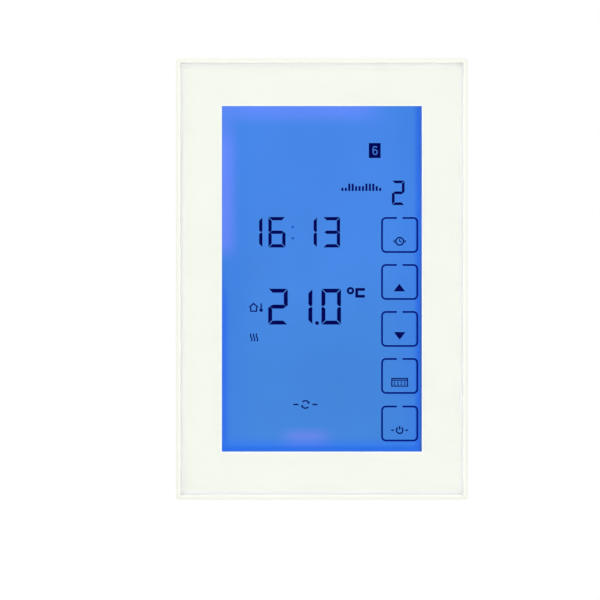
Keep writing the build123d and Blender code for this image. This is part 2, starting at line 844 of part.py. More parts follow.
with BuildPart() as relay_cover:
    with BuildSketch(box_plane(iron_deep)):
        with Locations((relay_x, relay_z)):
            RectangleRounded(relay_length, relay_width, part_corner)
    extrude(amount=-(relay_height - relay_base_thickness))
    fillet(relay_cover.edges().group_by(Axis.Y)[-1], part_corner / 2)
    with BuildSketch(box_plane(iron_deep)):
        with Locations((relay_x, relay_z)):
            Rectangle(relay_length - 2 * relay_cover_wall, relay_width - 2 * relay_cover_wall)
    extrude(amount=-(relay_height - relay_base_thickness - relay_cover_wall), mode=Mode.SUBTRACT)
pieces["relay_cover"] = relay_cover

foot_start = coil_x - relay_iron_width / 2
foot_end = leg_x + relay_iron / 2
with BuildPart() as relay_frame:
    with BuildSketch(box_plane(iron_deep)):
        with Locations(((foot_start + foot_end) / 2, relay_z)):
            Rectangle(foot_end - foot_start, relay_iron_width)
    extrude(amount=-relay_iron)
    with BuildSketch(box_plane(core_deep)):
        with Locations((leg_x, relay_z)):
            Rectangle(relay_iron, relay_iron_width)
    extrude(amount=-(leg_end_deep - core_deep))
    with BuildSketch(box_plane(core_deep)):
        with Locations((coil_x, relay_z)):
            Circle(relay_core_radius)
    extrude(amount=-(pole_deep - core_deep))
    with BuildSketch(box_plane(pole_deep)):
        with Locations((coil_x, relay_z)):
            Circle(relay_pole_radius)
    extrude(amount=relay_pole_thickness)
pieces["relay_frame"] = relay_frame

bobbin_rear = pole_deep - relay_pole_thickness
with BuildPart() as relay_bobbin:
    with BuildSketch(box_plane(core_deep)):
        with Locations((coil_x, relay_z)):
            Circle(bobbin_tube_radius)
    extrude(amount=-(bobbin_rear - core_deep))
    for flange_deep in (core_deep, bobbin_rear - bobbin_flange_thickness):
        with BuildSketch(box_plane(flange_deep)):
            with Locations((coil_x, relay_z)):
                Rectangle(bobbin_flange, bobbin_flange)
        extrude(amount=-bobbin_flange_thickness)
    with BuildSketch(box_plane(core_deep)):
        with Locations((coil_x, relay_z)):
            Circle(relay_core_radius + screw_clearance)
    extrude(amount=-(bobbin_rear - core_deep), mode=Mode.SUBTRACT)
pieces["relay_bobbin"] = relay_bobbin

with BuildPart() as relay_winding:
    with BuildSketch(box_plane(core_deep + bobbin_flange_thickness)):
        with Locations((coil_x, relay_z)):
            Circle(winding_radius)
            Circle(bobbin_tube_radius + screw_clearance, mode=Mode.SUBTRACT)
    extrude(amount=-(bobbin_rear - core_deep - 2 * bobbin_flange_thickness))
pieces["relay_winding"] = relay_winding

# Hinged iron plate with the moving contact on its spring leaf
armature_end = leg_x - armature_length
leaf_end = leg_x - leaf_length
with BuildPart() as relay_armature:
    with BuildSketch(box_plane(armature_deep)):
        with Locations(((armature_end + foot_end) / 2, relay_z)):
            Rectangle(foot_end - armature_end, relay_iron_width)
    extrude(amount=-armature_thickness)
    leaf_start = leg_x - armature_length / 2
    with BuildSketch(box_plane(armature_deep + armature_thickness)):
        with Locations(((leaf_end + leaf_start) / 2, relay_z)):
            Rectangle(leaf_start - leaf_end, leaf_width)
    extrude(amount=-leaf_thickness)
    with BuildSketch(box_plane(armature_deep + armature_thickness)):
        with Locations((contact_x, relay_z)):
            Circle(contact_radius)
    extrude(amount=contact_height)
    # Rounded bearing edge on the end of the iron leg
    with BuildSketch(Plane.XY.offset(relay_z - relay_iron_width / 2)):
        with Locations((foot_end, armature_deep)):
            Circle(armature_leg_gap)
    extrude(amount=relay_iron_width)
pieces["relay_armature"] = relay_armature

# Fixed contact on its bent terminal
post_outer = contact_x - contact_post_offset
with BuildPart() as relay_contacts:
    with BuildSketch(box_plane(iron_deep)):
        with Locations((post_outer + contact_tab / 2, relay_z)):
            Rectangle(contact_tab, leaf_width)
    extrude(amount=-(fixed_contact_deep - contact_height / 2 - iron_deep))
    tab_end = contact_x + contact_radius
    with BuildSketch(box_plane(fixed_contact_deep - contact_height / 2)):
        with Locations(((post_outer + tab_end) / 2, relay_z)):
            Rectangle(tab_end - post_outer, leaf_width)
    extrude(amount=contact_tab)
    with BuildSketch(box_plane(fixed_contact_deep - contact_height / 2)):
        with Locations((contact_x, relay_z)):
            Circle(contact_radius)
    extrude(amount=-contact_height / 2)
pieces["relay_contacts"] = relay_contacts

# ======== Other mains parts ========

film_cap_x = relay_x + (relay_length + film_cap_length) / 2 + film_cap_gap
with BuildPart() as mains_capacitor:
    with BuildSketch(box_plane(board_rear_deep)):
        with Locations((film_cap_x, relay_z)):
            RectangleRounded(film_cap_length, film_cap_width, part_corner)
    extrude(amount=-film_cap_height)
    fillet(mains_capacitor.edges().group_by(Axis.Y)[-1], part_corner)
pieces["mains_capacitor"] = mains_capacitor

varistor_z = relay_z + (relay_width + varistor_thickness) / 2
with BuildPart() as varistor:
    with BuildSketch(Plane.XY.offset(varistor_z - varistor_thickness / 2)):
        with Locations((film_cap_x, board_rear_deep + varistor_radius)):
            Circle(varistor_radius)
    extrude(amount=varistor_thickness)
    fillet(varistor.edges(), varistor_edge)
pieces["varistor"] = varistor

fuse_z = varistor_z + fuse_rise
with BuildPart() as fuse:
    with BuildSketch(box_plane(board_rear_deep)):
        with Locations((film_cap_x + fuse_shift, fuse_z)):
            Circle(fuse_radius)
    extrude(amount=-fuse_height)
    fillet(fuse.edges().group_by(Axis.Y)[-1], part_corner)
pieces["fuse"] = fuse

with BuildPart() as transformer:
    with BuildSketch(box_plane(board_rear_deep)):
        with Locations((transformer_x, transformer_z)):
            Rectangle(transformer_length, transformer_width)
    extrude(amount=-transformer_height / 3)
    with BuildSketch(box_plane(board_rear_deep)):
        with Locations((transformer_x, transformer_z)):
            Rectangle(transformer_length - core_band, transformer_width - core_band)
    extrude(amount=-transformer_height)
    with BuildSketch(box_plane(board_rear_deep + transformer_height / 3)):
        with Locations((transformer_x, transformer_z)):
            Rectangle(transformer_length, core_band)
    extrude(amount=-transformer_height * 2 / 3)
pieces["transformer"] = transformer

with BuildPart() as smoothing_capacitors:
    for number, (radius, height) in enumerate(zip(can_radii, can_heights)):
        with BuildSketch(box_plane(board_rear_deep)):
            with Locations((can_x, varistor_z + can_rise + number * can_pitch)):
                Circle(radius)
        extrude(amount=-height)
    fillet(smoothing_capacitors.edges().filter_by(GeomType.CIRCLE).group_by(Axis.Y)[-1], part_corner)
pieces["smoothing_capacitors"] = smoothing_capacitors

# ======== Terminals ========

pocket_height = pocket_top - pocket_bottom
pocket_middle = (pocket_top + pocket_bottom) / 2
with BuildPart() as terminal_block:
    with BuildSketch(box_plane(board_rear_deep)):
        with Locations((0, (block_bottom + block_top) / 2)):
            Rectangle(block_width, block_height)
    extrude(amount=-(block_rear - board_rear_deep))
    chamfer(terminal_block.faces().sort_by(Axis.Y)[-1].edges(), block_edge)
    for way_x in way_centres:
        with BuildSketch(box_plane(board_rear_deep)):
            with Locations((way_x, pocket_middle)):
                Rectangle(way_pitch - way_wall, pocket_height)
        extrude(amount=-(pocket_rear - board_rear_deep), mode=Mode.SUBTRACT)
        with BuildSketch(box_plane(pocket_rear)):
            with Locations((way_x, screw_z)):
                Circle(terminal_head_radius + cage_gap)
        extrude(amount=-(chamber_rear - pocket_rear), mode=Mode.SUBTRACT)
        with BuildSketch(box_plane(chamber_rear)):
            with Locations((way_x, screw_z)):
                Circle(terminal_access_radius)
        extrude(amount=-(block_rear - chamber_rear), mode=Mode.SUBTRACT)
        # Wire entry through the bottom wall
        with BuildSketch(Plane.XY.offset(block_bottom)):
            with Locations((way_x, wire_front + wire_gap / 2)):
                Rectangle(cage_inner_width, wire_gap)
        extrude(amount=block_end_wall, mode=Mode.SUBTRACT)
pieces["terminal_block"] = terminal_block

tongue_width = cage_inner_width - 2 * cage_gap
tongue_low = cage_low_z + cage_gap
leg_high = pocket_top - cage_gap
with BuildPart() as terminal_tongues:
    for way_x in way_centres:
        with BuildSketch(box_plane(tongue_front)):
            with Locations((way_x, (tongue_low + leg_high) / 2)):
                Rectangle(tongue_width, leg_high - tongue_low)
        extrude(amount=-tongue_thickness)
        with BuildSketch(box_plane(board_rear_deep)):
            with Locations((way_x, leg_high - tongue_thickness / 2)):
                Rectangle(tongue_width, tongue_thickness)
        extrude(amount=-(tongue_front - board_rear_deep))
pieces["terminal_tongues"] = terminal_tongues

for way, way_x in enumerate(way_centres, start=1):
    with BuildPart() as clamp_cage:
        with BuildSketch(Plane.XY.offset(cage_low_z)):
            with Locations((way_x, (cage_front + cage_rear) / 2)):
                Rectangle(cage_outer_width, cage_rear - cage_front)
            with Locations((way_x, (wire_front + nut_front) / 2)):
                Rectangle(cage_inner_width, nut_front - wire_front, mode=Mode.SUBTRACT)
        extrude(amount=cage_length)
        with BuildSketch(box_plane(nut_front)):
            with Locations((way_x, screw_z)):
                Circle(terminal_screw_radius + thread_clearance)
        extrude(amount=-cage_nut, mode=Mode.SUBTRACT)
    pieces[f"clamp_cage_{way}"] = clamp_cage

    with BuildPart() as terminal_screw:
        with BuildSketch(box_plane(screw_tip)):
            with Locations((way_x, screw_z)):
                Circle(terminal_screw_radius)
        extrude(amount=-(head_front - screw_tip))
        with BuildSketch(box_plane(head_front)):
            with Locations((way_x, screw_z)):
                Circle(terminal_head_radius)
        extrude(amount=-terminal_head_height)
        with BuildSketch(box_plane(head_rear)):
            with Locations((way_x, screw_z)):
                Rectangle(2 * terminal_head_radius, slot_width)
                Rectangle(slot_width, terminal_head_radius)
        extrude(amount=slot_depth, mode=Mode.SUBTRACT)
    pieces[f"terminal_screw_{way}"] = terminal_screw

# ======== Output ========

os.makedirs("parts", exist_ok=True)
for name, piece in pieces.items():
    piece.part.label = name
    export_step(piece.part, f"parts/{name}.step")

print("relay hinge", round(leg_x + relay_iron / 2, 4), round(armature_deep, 4), relay_z)
print("terminals", [round(x, 3) for x in way_centres], round(screw_z, 3), round(head_front, 3))
print("levels", round(glass_front, 2), round(lcd_front, 2), round(board_back, 2), round(block_rear, 2))
print("pieces", len(pieces))
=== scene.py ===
"""Looks of a touch-screen wall thermostat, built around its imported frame.

Outlines of marks, seams and labels are in millimetres; levels, boxes and everything else in metres.
"""

import json
import math

import bmesh
import bpy
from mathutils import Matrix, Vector


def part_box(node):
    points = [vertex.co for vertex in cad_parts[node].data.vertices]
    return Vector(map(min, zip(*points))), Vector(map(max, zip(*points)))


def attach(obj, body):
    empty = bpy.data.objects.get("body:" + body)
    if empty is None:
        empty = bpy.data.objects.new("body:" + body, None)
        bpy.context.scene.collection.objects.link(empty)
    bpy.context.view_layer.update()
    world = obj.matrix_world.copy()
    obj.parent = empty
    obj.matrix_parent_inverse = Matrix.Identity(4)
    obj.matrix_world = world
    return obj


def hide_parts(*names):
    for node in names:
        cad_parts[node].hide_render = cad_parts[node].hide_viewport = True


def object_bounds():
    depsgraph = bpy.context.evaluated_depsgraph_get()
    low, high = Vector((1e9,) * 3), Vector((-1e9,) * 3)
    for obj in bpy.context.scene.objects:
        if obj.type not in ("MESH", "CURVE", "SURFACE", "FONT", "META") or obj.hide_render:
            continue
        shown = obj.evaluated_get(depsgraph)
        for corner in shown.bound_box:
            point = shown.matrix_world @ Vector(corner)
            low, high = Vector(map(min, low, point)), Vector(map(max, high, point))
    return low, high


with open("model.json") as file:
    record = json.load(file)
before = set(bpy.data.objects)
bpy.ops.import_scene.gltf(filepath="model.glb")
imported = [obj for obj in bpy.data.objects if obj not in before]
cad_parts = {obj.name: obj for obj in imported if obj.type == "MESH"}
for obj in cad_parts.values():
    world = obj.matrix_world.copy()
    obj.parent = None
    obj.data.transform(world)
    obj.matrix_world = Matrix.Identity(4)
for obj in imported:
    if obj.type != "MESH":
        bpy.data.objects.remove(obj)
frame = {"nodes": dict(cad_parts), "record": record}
cad_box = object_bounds()

MM = 0.001
WALL_BODY = "wall_module"
FRONT_BODY = "front_module"

# Opening in the print of the glass
WINDOW_WIDTH = 52.2 * MM
WINDOW_HEIGHT = 90.2 * MM

# The display's ink lies in the gap between its front film and the touch film
DISPLAY_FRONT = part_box("front_polariser")[0].y
FILM_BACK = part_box("touch_film")[1].y
INK_BACK = DISPLAY_FRONT + 0.2 * (FILM_BACK - DISPLAY_FRONT)
INK_FRONT = DISPLAY_FRONT + 0.6 * (FILM_BACK - DISPLAY_FRONT)


# ---------------------------------------------------------------- colours


def srgb(red, green, blue):
    """Linear colour from display values of 0 to 255."""

    def channel(value):
        value /= 255.0
        if value <= 0.04045:
            return value / 12.92
        return ((value + 0.055) / 1.055) ** 2.4

    return (channel(red), channel(green), channel(blue), 1.0)


# ---------------------------------------------------------------- node helpers


class Wiring:
    """Short calls for adding and joining nodes in one tree."""

    def __init__(self, tree):
        self.tree = tree

    def add(self, kind, **settings):
        """New node of that kind, with its settings."""
        node = self.tree.nodes.new(kind)
        for key, value in settings.items():
            setattr(node, key, value)
        return node

    def join(self, source, target):
        """Link from an output to an input."""
        self.tree.links.new(source, target)

    def put(self, socket, value):
        """Joins value to socket if it is a socket, or sets it."""
        if isinstance(value, bpy.types.NodeSocket):
            self.join(value, socket)
        else:
            socket.default_value = value

    def math(self, operation, first, second=0.0, third=0.0, clamp=False):
        """One sum on numbers or sockets."""
        node = self.add("ShaderNodeMath", operation=operation, use_clamp=clamp)
        for socket, value in zip(node.inputs, (first, second, third)):
            self.put(socket, value)
        return node.outputs[0]

    def ramp(self, value, low, high, to_low=0.0, to_high=1.0):
        """Smooth step of value from low to high."""
        node = self.add("ShaderNodeMapRange", interpolation_type="SMOOTHSTEP")
        self.put(node.inputs["Value"], value)
        self.put(node.inputs["From Min"], low)
        self.put(node.inputs["From Max"], high)
        self.put(node.inputs["To Min"], to_low)
        self.put(node.inputs["To Max"], to_high)
        return node.outputs["Result"]

    def swing(self, value, amount, middle):
        """Middle, moved up or down by half of amount at most as value runs from 0 to 1."""
        return self.math("MULTIPLY_ADD", self.math("SUBTRACT", value, 0.5), amount, middle)

    def mix(self, factor, first, second):
        """Colour between first, at factor 0, and second, at factor 1."""
        node = self.add("ShaderNodeMix", data_type="RGBA")
        self.put(node.inputs["Factor"], factor)
        self.put(node.inputs[6], first)
        self.put(node.inputs[7], second)
        return node.outputs[2]

    def washed(self, colour, mask, amount, tint):
        """Colour washed over with a tint, by that amount where mask is 1."""
        return self.mix(self.math("MULTIPLY", mask, amount), colour, tint)

    def scaled(self, colour, factor):
        """Colour made lighter or darker by a factor."""
        node = self.add("ShaderNodeVectorMath", operation="SCALE")
        self.put(node.inputs[0], colour)
        self.put(node.inputs["Scale"], factor)
        return node.outputs[0]

    def noise(self, vector, scale, detail=2.0, roughness=0.5):
        """Cloudy values of 0 to 1; scale is in clouds to the metre."""
        node = self.add("ShaderNodeTexNoise")
        self.put(node.inputs["Vector"], vector)
        self.put(node.inputs["Scale"], scale)
        node.inputs["Detail"].default_value = detail
        node.inputs["Roughness"].default_value = roughness
        return node.outputs["Fac"]

    def place(self):
        """Position on the piece, in metres, in the frame's axes."""
        return self.add("ShaderNodeTexCoord").outputs["Object"]

    def axes(self):
        """X, Y and Z of that position."""
        node = self.add("ShaderNodeSeparateXYZ")
        self.join(self.place(), node.inputs[0])
        return node.outputs

    def drawn_out(self, vector, share):
        """Position whose X is shrunk to a share, so that noise runs long in X."""
        node = self.add("ShaderNodeVectorMath", operation="MULTIPLY")
        self.put(node.inputs[0], vector)
        node.inputs[1].default_value = (share, 1.0, 1.0)
        return node.outputs[0]


def new_group(name, inputs, outputs):
    """Empty node group with named sockets; gives it, its wiring, its inputs and its outputs."""
    group = bpy.data.node_groups.new(name, "ShaderNodeTree")
    for label, kind, default in inputs:
        socket = group.interface.new_socket(label, in_out="INPUT", socket_type=kind)
        socket.default_value = default
    for label, kind in outputs:
        group.interface.new_socket(label, in_out="OUTPUT", socket_type=kind)
    wiring = Wiring(group)
    entry = wiring.add("NodeGroupInput")
    leave = wiring.add("NodeGroupOutput")
    return group, wiring, entry.outputs, leave.inputs


FLOAT = "NodeSocketFloat"
COLOR = "NodeSocketColor"
MM_PER_METRE = 1000.0


def make_moulded_skin():
    """Fine spark-eroded grain, faint flow clouding and uneven gloss of a moulded plastic face."""
    group, w, given, made = new_group(
        "moulded_skin",
        [
            ("Color", COLOR, (0.8, 0.8, 0.8, 1.0)),
            ("Grain Size mm", FLOAT, 0.35),
            ("Roughness", FLOAT, 0.45),
            ("Clouding", FLOAT, 0.03),
        ],
        [("Color", COLOR), ("Roughness", FLOAT), ("Height", FLOAT)],
    )
    place = w.place()
    grain = w.noise(place, w.math("DIVIDE", MM_PER_METRE, given["Grain Size mm"]), 3.0, 0.6)
    cloud = w.noise(place, 45.0, 3.0, 0.55)
    rub = w.noise(place, 260.0, 4.0, 0.6)
    shade = w.swing(cloud, given["Clouding"], 1.0)
    speck = w.swing(grain, 0.03, shade)
    w.join(w.scaled(given["Color"], speck), made["Color"])
    gloss = w.swing(rub, 0.16, given["Roughness"])
    w.join(w.math("ADD", gloss, 0.0, clamp=True), made["Roughness"])
    w.join(grain, made["Height"])
    return group


def make_drawn_metal():
    """Rolling lines, plating cloud and fine handling scratches of sheet or turned metal."""
    group, w, given, made = new_group(
        "drawn_metal",
        [
            ("Color", COLOR, (0.7, 0.7, 0.7, 1.0)),
            ("Dull Color", COLOR, (0.5, 0.5, 0.5, 1.0)),
            ("Line Pitch mm", FLOAT, 0.2),
            ("Roughness", FLOAT, 0.3),
        ],
        [("Color", COLOR), ("Roughness", FLOAT), ("Height", FLOAT)],
    )
    place = w.place()
    scale = w.math("DIVIDE", MM_PER_METRE, given["Line Pitch mm"])
    lines = w.noise(w.drawn_out(place, 0.04), scale)
    cloud = w.noise(w.drawn_out(place, 0.3), 55.0, 3.0)
    scuff = w.noise(w.drawn_out(place, 0.12), 900.0, 3.0, 0.6)
    blotch = w.math("MULTIPLY_ADD", w.ramp(scuff, 0.55, 0.8), 0.35, w.ramp(cloud, 0.3, 0.8))
    w.join(w.mix(blotch, given["Color"], given["Dull Color"]), made["Color"])
    uneven = w.swing(lines, 0.25, given["Roughness"])
    rough = w.math("MULTIPLY_ADD", blotch, 0.05, uneven)
    w.join(w.math("ADD", rough, 0.0, clamp=True), made["Roughness"])
    w.join(lines, made["Height"])
    return group


def make_backlight_glow():
    """Uneven blue of an edge-lit display: bright head, violet left edge, deeper right and foot, with
    a painted reflection low down left of the middle and a painted shadow along the right edge.
    """
    group, w, given, made = new_group(
        "backlight_glow_with_painted_reflection", [("Level", FLOAT, 1.0)], [("Color", COLOR)]
    )
    axes = w.axes()
    # Both run from -1 to 1 between the window's edges
    across = w.math("DIVIDE", axes["X"], WINDOW_WIDTH / 2)
    up = w.math("DIVIDE", axes["Z"], WINDOW_HEIGHT / 2)

    low_blue = srgb(70, 137, 223)
    high_blue = srgb(73, 138, 236)
    side_blue = srgb(64, 131, 230)
    head_blue = srgb(98, 142, 253)
    pale_violet = srgb(108, 141, 255)
    left_blue = srgb(50, 114, 238)
    painted_reflection_violet = srgb(106, 138, 236)
    foot_blue = srgb(52, 124, 244)
    sill_blue = srgb(40, 111, 236)
    right_blue = srgb(46, 110, 232)
    shadow_blue = srgb(44, 94, 186)

    colour = w.mix(w.ramp(up, -0.9, 0.9), low_blue, high_blue)
    sides = w.ramp(w.math("ABSOLUTE", across), 0.6, 0.95)
    colour = w.washed(colour, sides, 0.6, side_blue)
    head = w.math("MULTIPLY", w.ramp(up, 0.87, 0.985), w.ramp(across, 0.7, 0.3))
    head = w.math("MULTIPLY", head, w.ramp(across, -0.95, -0.6, 0.7, 1.0))
    colour = w.mix(head, colour, head_blue)
    violet = w.math("MULTIPLY", w.ramp(across, -0.8, -0.97), w.ramp(up, 0.08, 0.22))
    violet = w.math("MULTIPLY", violet, w.ramp(up, 1.0, 0.72, 0.25, 1.0))
    colour = w.washed(colour, violet, 0.85, pale_violet)
    deep_left = w.math("MULTIPLY", w.ramp(across, -0.91, -0.975), w.ramp(up, 0.1, -0.2))
    colour = w.washed(colour, deep_left, 0.85, left_blue)
    # Painted reflection: a soft violet patch low down, left of the middle, stands for the room
    # reflected in the glass
    painted_reflection = w.math("ABSOLUTE", w.math("ADD", across, 0.16))
    painted_reflection = w.math("MULTIPLY", w.ramp(painted_reflection, 0.34, 0.06), w.ramp(up, -0.84, -0.92))
    colour = w.washed(colour, painted_reflection, 0.9, painted_reflection_violet)
    foot = w.ramp(up, -0.91, -0.955)
    colour = w.washed(colour, foot, 0.55, foot_blue)
    sill = w.ramp(up, -0.955, -0.98)
    colour = w.washed(colour, sill, 0.75, sill_blue)
    right = w.ramp(across, 0.91, 0.965)
    colour = w.washed(colour, right, 0.85, right_blue)
    shade = w.math("MULTIPLY", w.ramp(across, 0.965, 0.99), w.ramp(up, 0.3, -0.1, 0.4, 1.0))
    colour = w.washed(colour, shade, 0.7, shadow_blue)

    cloud = w.noise(w.place(), 38.0, 3.0)
    level = w.swing(cloud, 0.24, given["Level"])
    w.join(w.scaled(colour, level), made["Color"])
    return group


def make_wiped_sheet():
    """Clear sheet as it is after handling, with a faint wiping haze."""
    group, w, given, made = new_group(
        "wiped_sheet",
        [
            ("Color", COLOR, (0.99, 0.99, 0.99, 1.0)),
            ("Roughness", FLOAT, 0.0),
            ("Haze", FLOAT, 0.02),
        ],
        [("Color", COLOR), ("Roughness", FLOAT)],
    )
    place = w.place()
    wipe = w.noise(w.drawn_out(place, 0.35), 140.0, 5.0, 0.65)
    film = w.noise(place, 32.0)
    smear = w.math("MULTIPLY", w.ramp(wipe, 0.45, 0.75), w.ramp(film, 0.4, 0.65))
    haze = w.math("MULTIPLY", smear, given["Haze"])
    w.join(w.math("ADD", haze, given["Roughness"], clamp=True), made["Roughness"])
    dimming = w.math("MULTIPLY_ADD", smear, -0.008, 1.0)
    w.join(w.scaled(given["Color"], dimming), made["Color"])
    return group


GROUPS = {
    "moulded_skin": make_moulded_skin(),
    "drawn_metal": make_drawn_metal(),
    "backlight_glow_with_painted_reflection": make_backlight_glow(),
    "wiped_sheet": make_wiped_sheet(),
}


def new_material(name):
    """Node material; gives it, its wiring and its shader's inputs."""
    material = bpy.data.materials.new(name)
    material.use_nodes = True
    wiring = Wiring(material.node_tree)
    shader = material.node_tree.nodes["Principled BSDF"]
    return material, wiring, shader.inputs


def use_group(wiring, name, **values):
    """Places a group with its own values, given by socket name with _ for each space."""
    node = wiring.add("ShaderNodeGroup")
    node.node_tree = GROUPS[name]
    for label, value in values.items():
        wiring.put(node.inputs[label.replace("_", " ")], value)
    return node.outputs


def put_skin(wiring, shader, skin):
    """Gives the shader the colour and roughness that a group puts out."""
    wiring.join(skin["Color"], shader["Base Color"])
    wiring.join(skin["Roughness"], shader["Roughness"])


def add_bump(wiring, shader, height, depth_mm):
    """Fine relief of that depth from a height of 0 to 1."""
    bump = wiring.add("ShaderNodeBump")
    bump.inputs["Strength"].default_value = 1.0
    bump.inputs["Distance"].default_value = depth_mm * MM
    wiring.join(height, bump.inputs["Height"])
    wiring.join(bump.outputs["Normal"], shader["Normal"])


# ---------------------------------------------------------------- materials


def moulded_plastic(name, colour, roughness, grain_mm, depth_mm, coat=0.0):
    """Moulded or coated surface with a fine grain, glossier on top where it has a coat."""
    material, w, shader = new_material(name)
    skin = use_group(
        w, "moulded_skin", Color=colour, Roughness=roughness, Grain_Size_mm=grain_mm, Clouding=0.03
    )
    put_skin(w, shader, skin)
    shader["Coat Weight"].default_value = coat
    shader["Coat Roughness"].default_value = 0.15
    add_bump(w, shader, skin["Height"], depth_mm)
    return material


def plated_metal(name, colour, dull, roughness, pitch_mm):
    """Bright metal with drawing lines a pitch apart, going dull in patches."""
    depth_mm = 0.002
    material, w, shader = new_material(name)
    metal = use_group(
        w, "drawn_metal", Color=colour, Dull_Color=dull, Line_Pitch_mm=pitch_mm, Roughness=roughness
    )
    shader["Metallic"].default_value = 1.0
    put_skin(w, shader, metal)
    add_bump(w, shader, metal["Height"], depth_mm)
    return material


def clear_sheet(name, colour, ior, roughness=0.0, haze=0.02):
    """Clear glass, film or acrylic, faintly smeared where it was wiped."""
    material, w, shader = new_material(name)
    sheet = use_group(w, "wiped_sheet", Color=colour, Roughness=roughness, Haze=haze)
    put_skin(w, shader, sheet)
    shader["Transmission Weight"].default_value = 1.0
    shader["IOR"].default_value = ior
    return material


def past_edge(wiring, axes, half_width, half_height):
    """How far a place lies outside a rectangle about the middle, less than 0 inside it."""
    past_side = wiring.math("SUBTRACT", wiring.math("ABSOLUTE", axes["X"]), half_width)
    past_end = wiring.math("SUBTRACT", wiring.math("ABSOLUTE", axes["Z"]), half_height)
    return wiring.math("MAXIMUM", past_side, past_end)


def border_ink():
    """Cream print on the back of the glass, painted whiter along both its edges: a painted light line
    round the window, and painted light near its outer edge that lifts the shade there.
    """
    material, w, shader = new_material("border_ink")
    skin = use_group(w, "moulded_skin", Color=srgb(246, 247, 239), Roughness=0.5, Clouding=0.012)
    axes = w.axes()
    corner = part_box("border_print")[1]
    past_window = past_edge(w, axes, WINDOW_WIDTH / 2, WINDOW_HEIGHT / 2)
    past_rim = past_edge(w, axes, corner.x, corner.z)
    # Painted light: a thin white glow line round the window, and whitening over the last 1.8 mm
    # towards the outer edge, where the glass's edge shades the print
    painted_window_glow = w.ramp(past_window, 0.45 * MM, 0.25 * MM)
    painted_rim_light = w.ramp(past_rim, -1.8 * MM, -0.3 * MM)
    painted_edge_light = w.math("MAXIMUM", painted_window_glow, painted_rim_light)
    w.join(w.mix(painted_edge_light, skin["Color"], srgb(255, 255, 255)), shader["Base Color"])
    w.join(skin["Roughness"], shader["Roughness"])
    shader["Specular IOR Level"].default_value = 0.0
    return material


def lit_film(name, level):
    """Clear film that shows the backlight behind it, at that level, with its painted reflection and
    painted shadow.
    """
    material, w, shader = new_material(name)
    glow = use_group(w, "backlight_glow_with_painted_reflection", Level=level)
    shader["Base Color"].default_value = srgb(8, 14, 40)
    shader["Specular IOR Level"].default_value = 0.0
    w.join(glow["Color"], shader["Emission Color"])
    shader["Emission Strength"].default_value = 1.0
    return material


def display_mark(name, glow):
    """Switched-on liquid crystal: nearly black navy with a trace of the light behind."""
    material, w, shader = new_material(name)
    cloud = w.noise(w.place(), 900.0)
    w.join(w.mix(cloud, srgb(2, 3, 26), srgb(4, 6, 38)), shader["Base Color"])
    shader["Specular IOR Level"].default_value = 0.0
    shader["Emission Color"].default_value = glow
    shader["Emission Strength"].default_value = 1.0
    return material


def circuit_board():
    """Green solder mask over faint copper tracks and pads."""
    material, w, shader = new_material("circuit_board")
    tracks = w.add("ShaderNodeTexBrick", offset=0.37, squash=0.6, squash_frequency=3)
    flat = w.add("ShaderNodeCombineXYZ")
    axes = w.axes()
    w.join(axes["X"], flat.inputs["X"])
    w.join(axes["Z"], flat.inputs["Y"])
    w.join(flat.outputs[0], tracks.inputs["Vector"])
    tracks.inputs["Scale"].default_value = 260.0
    tracks.inputs["Mortar Size"].default_value = 0.06
    tracks.inputs["Color1"].default_value = srgb(18, 92, 44)
    tracks.inputs["Color2"].default_value = srgb(14, 80, 38)
    tracks.inputs["Mortar"].default_value = srgb(52, 128, 62)
    skin = use_group(w, "moulded_skin", Color=tracks.outputs["Color"], Roughness=0.32)
    put_skin(w, shader, skin)
    add_bump(w, shader, tracks.outputs["Fac"], 0.02)
    return material


def copper_winding():
    """Enamelled wire laid turn by turn."""
    material, w, shader = new_material("copper_winding")
    turn_pitch = 0.25 * MM
    turns = w.math("SINE", w.math("MULTIPLY", w.axes()["Y"], 2 * math.pi / turn_pitch))
    metal = use_group(w, "drawn_metal", Color=srgb(196, 104, 52), Dull_Color=srgb(150, 70, 34))
    shader["Metallic"].default_value = 1.0
    put_skin(w, shader, metal)
    add_bump(w, shader, turns, 0.06)
    return material


def seam_sealant_painted_glow():
    """White sealant with a painted glow: a faint emission lightens it where shade falls in the hair
    gap round the glass.
    """
    material = moulded_plastic("seam_sealant_painted_glow", srgb(254, 254, 250), 0.6, 0.2, 0.001)
    shader = material.node_tree.nodes["Principled BSDF"].inputs
    # Painted light: this faint cream glow stands in for light, lifting the shade in the gap round the
    # glass
    shader["Emission Color"].default_value = srgb(246, 247, 238)
    shader["Emission Strength"].default_value = 0.3
    return material


def rubber(name, colour):
    """Dull rubber or foam with a tight grain."""
    return moulded_plastic(name, colour, 0.75, grain_mm=0.2, depth_mm=0.01)


CREAM = srgb(243, 245, 234)
ZINC = srgb(206, 208, 210)
ZINC_DULL = srgb(192, 194, 197)
NICKEL = srgb(214, 215, 216)
NICKEL_DULL = srgb(190, 191, 193)
TIN = srgb(214, 206, 176)
TIN_DULL = srgb(188, 178, 146)
ALUMINIUM = srgb(204, 206, 210)
ALUMINIUM_DULL = srgb(176, 178, 184)

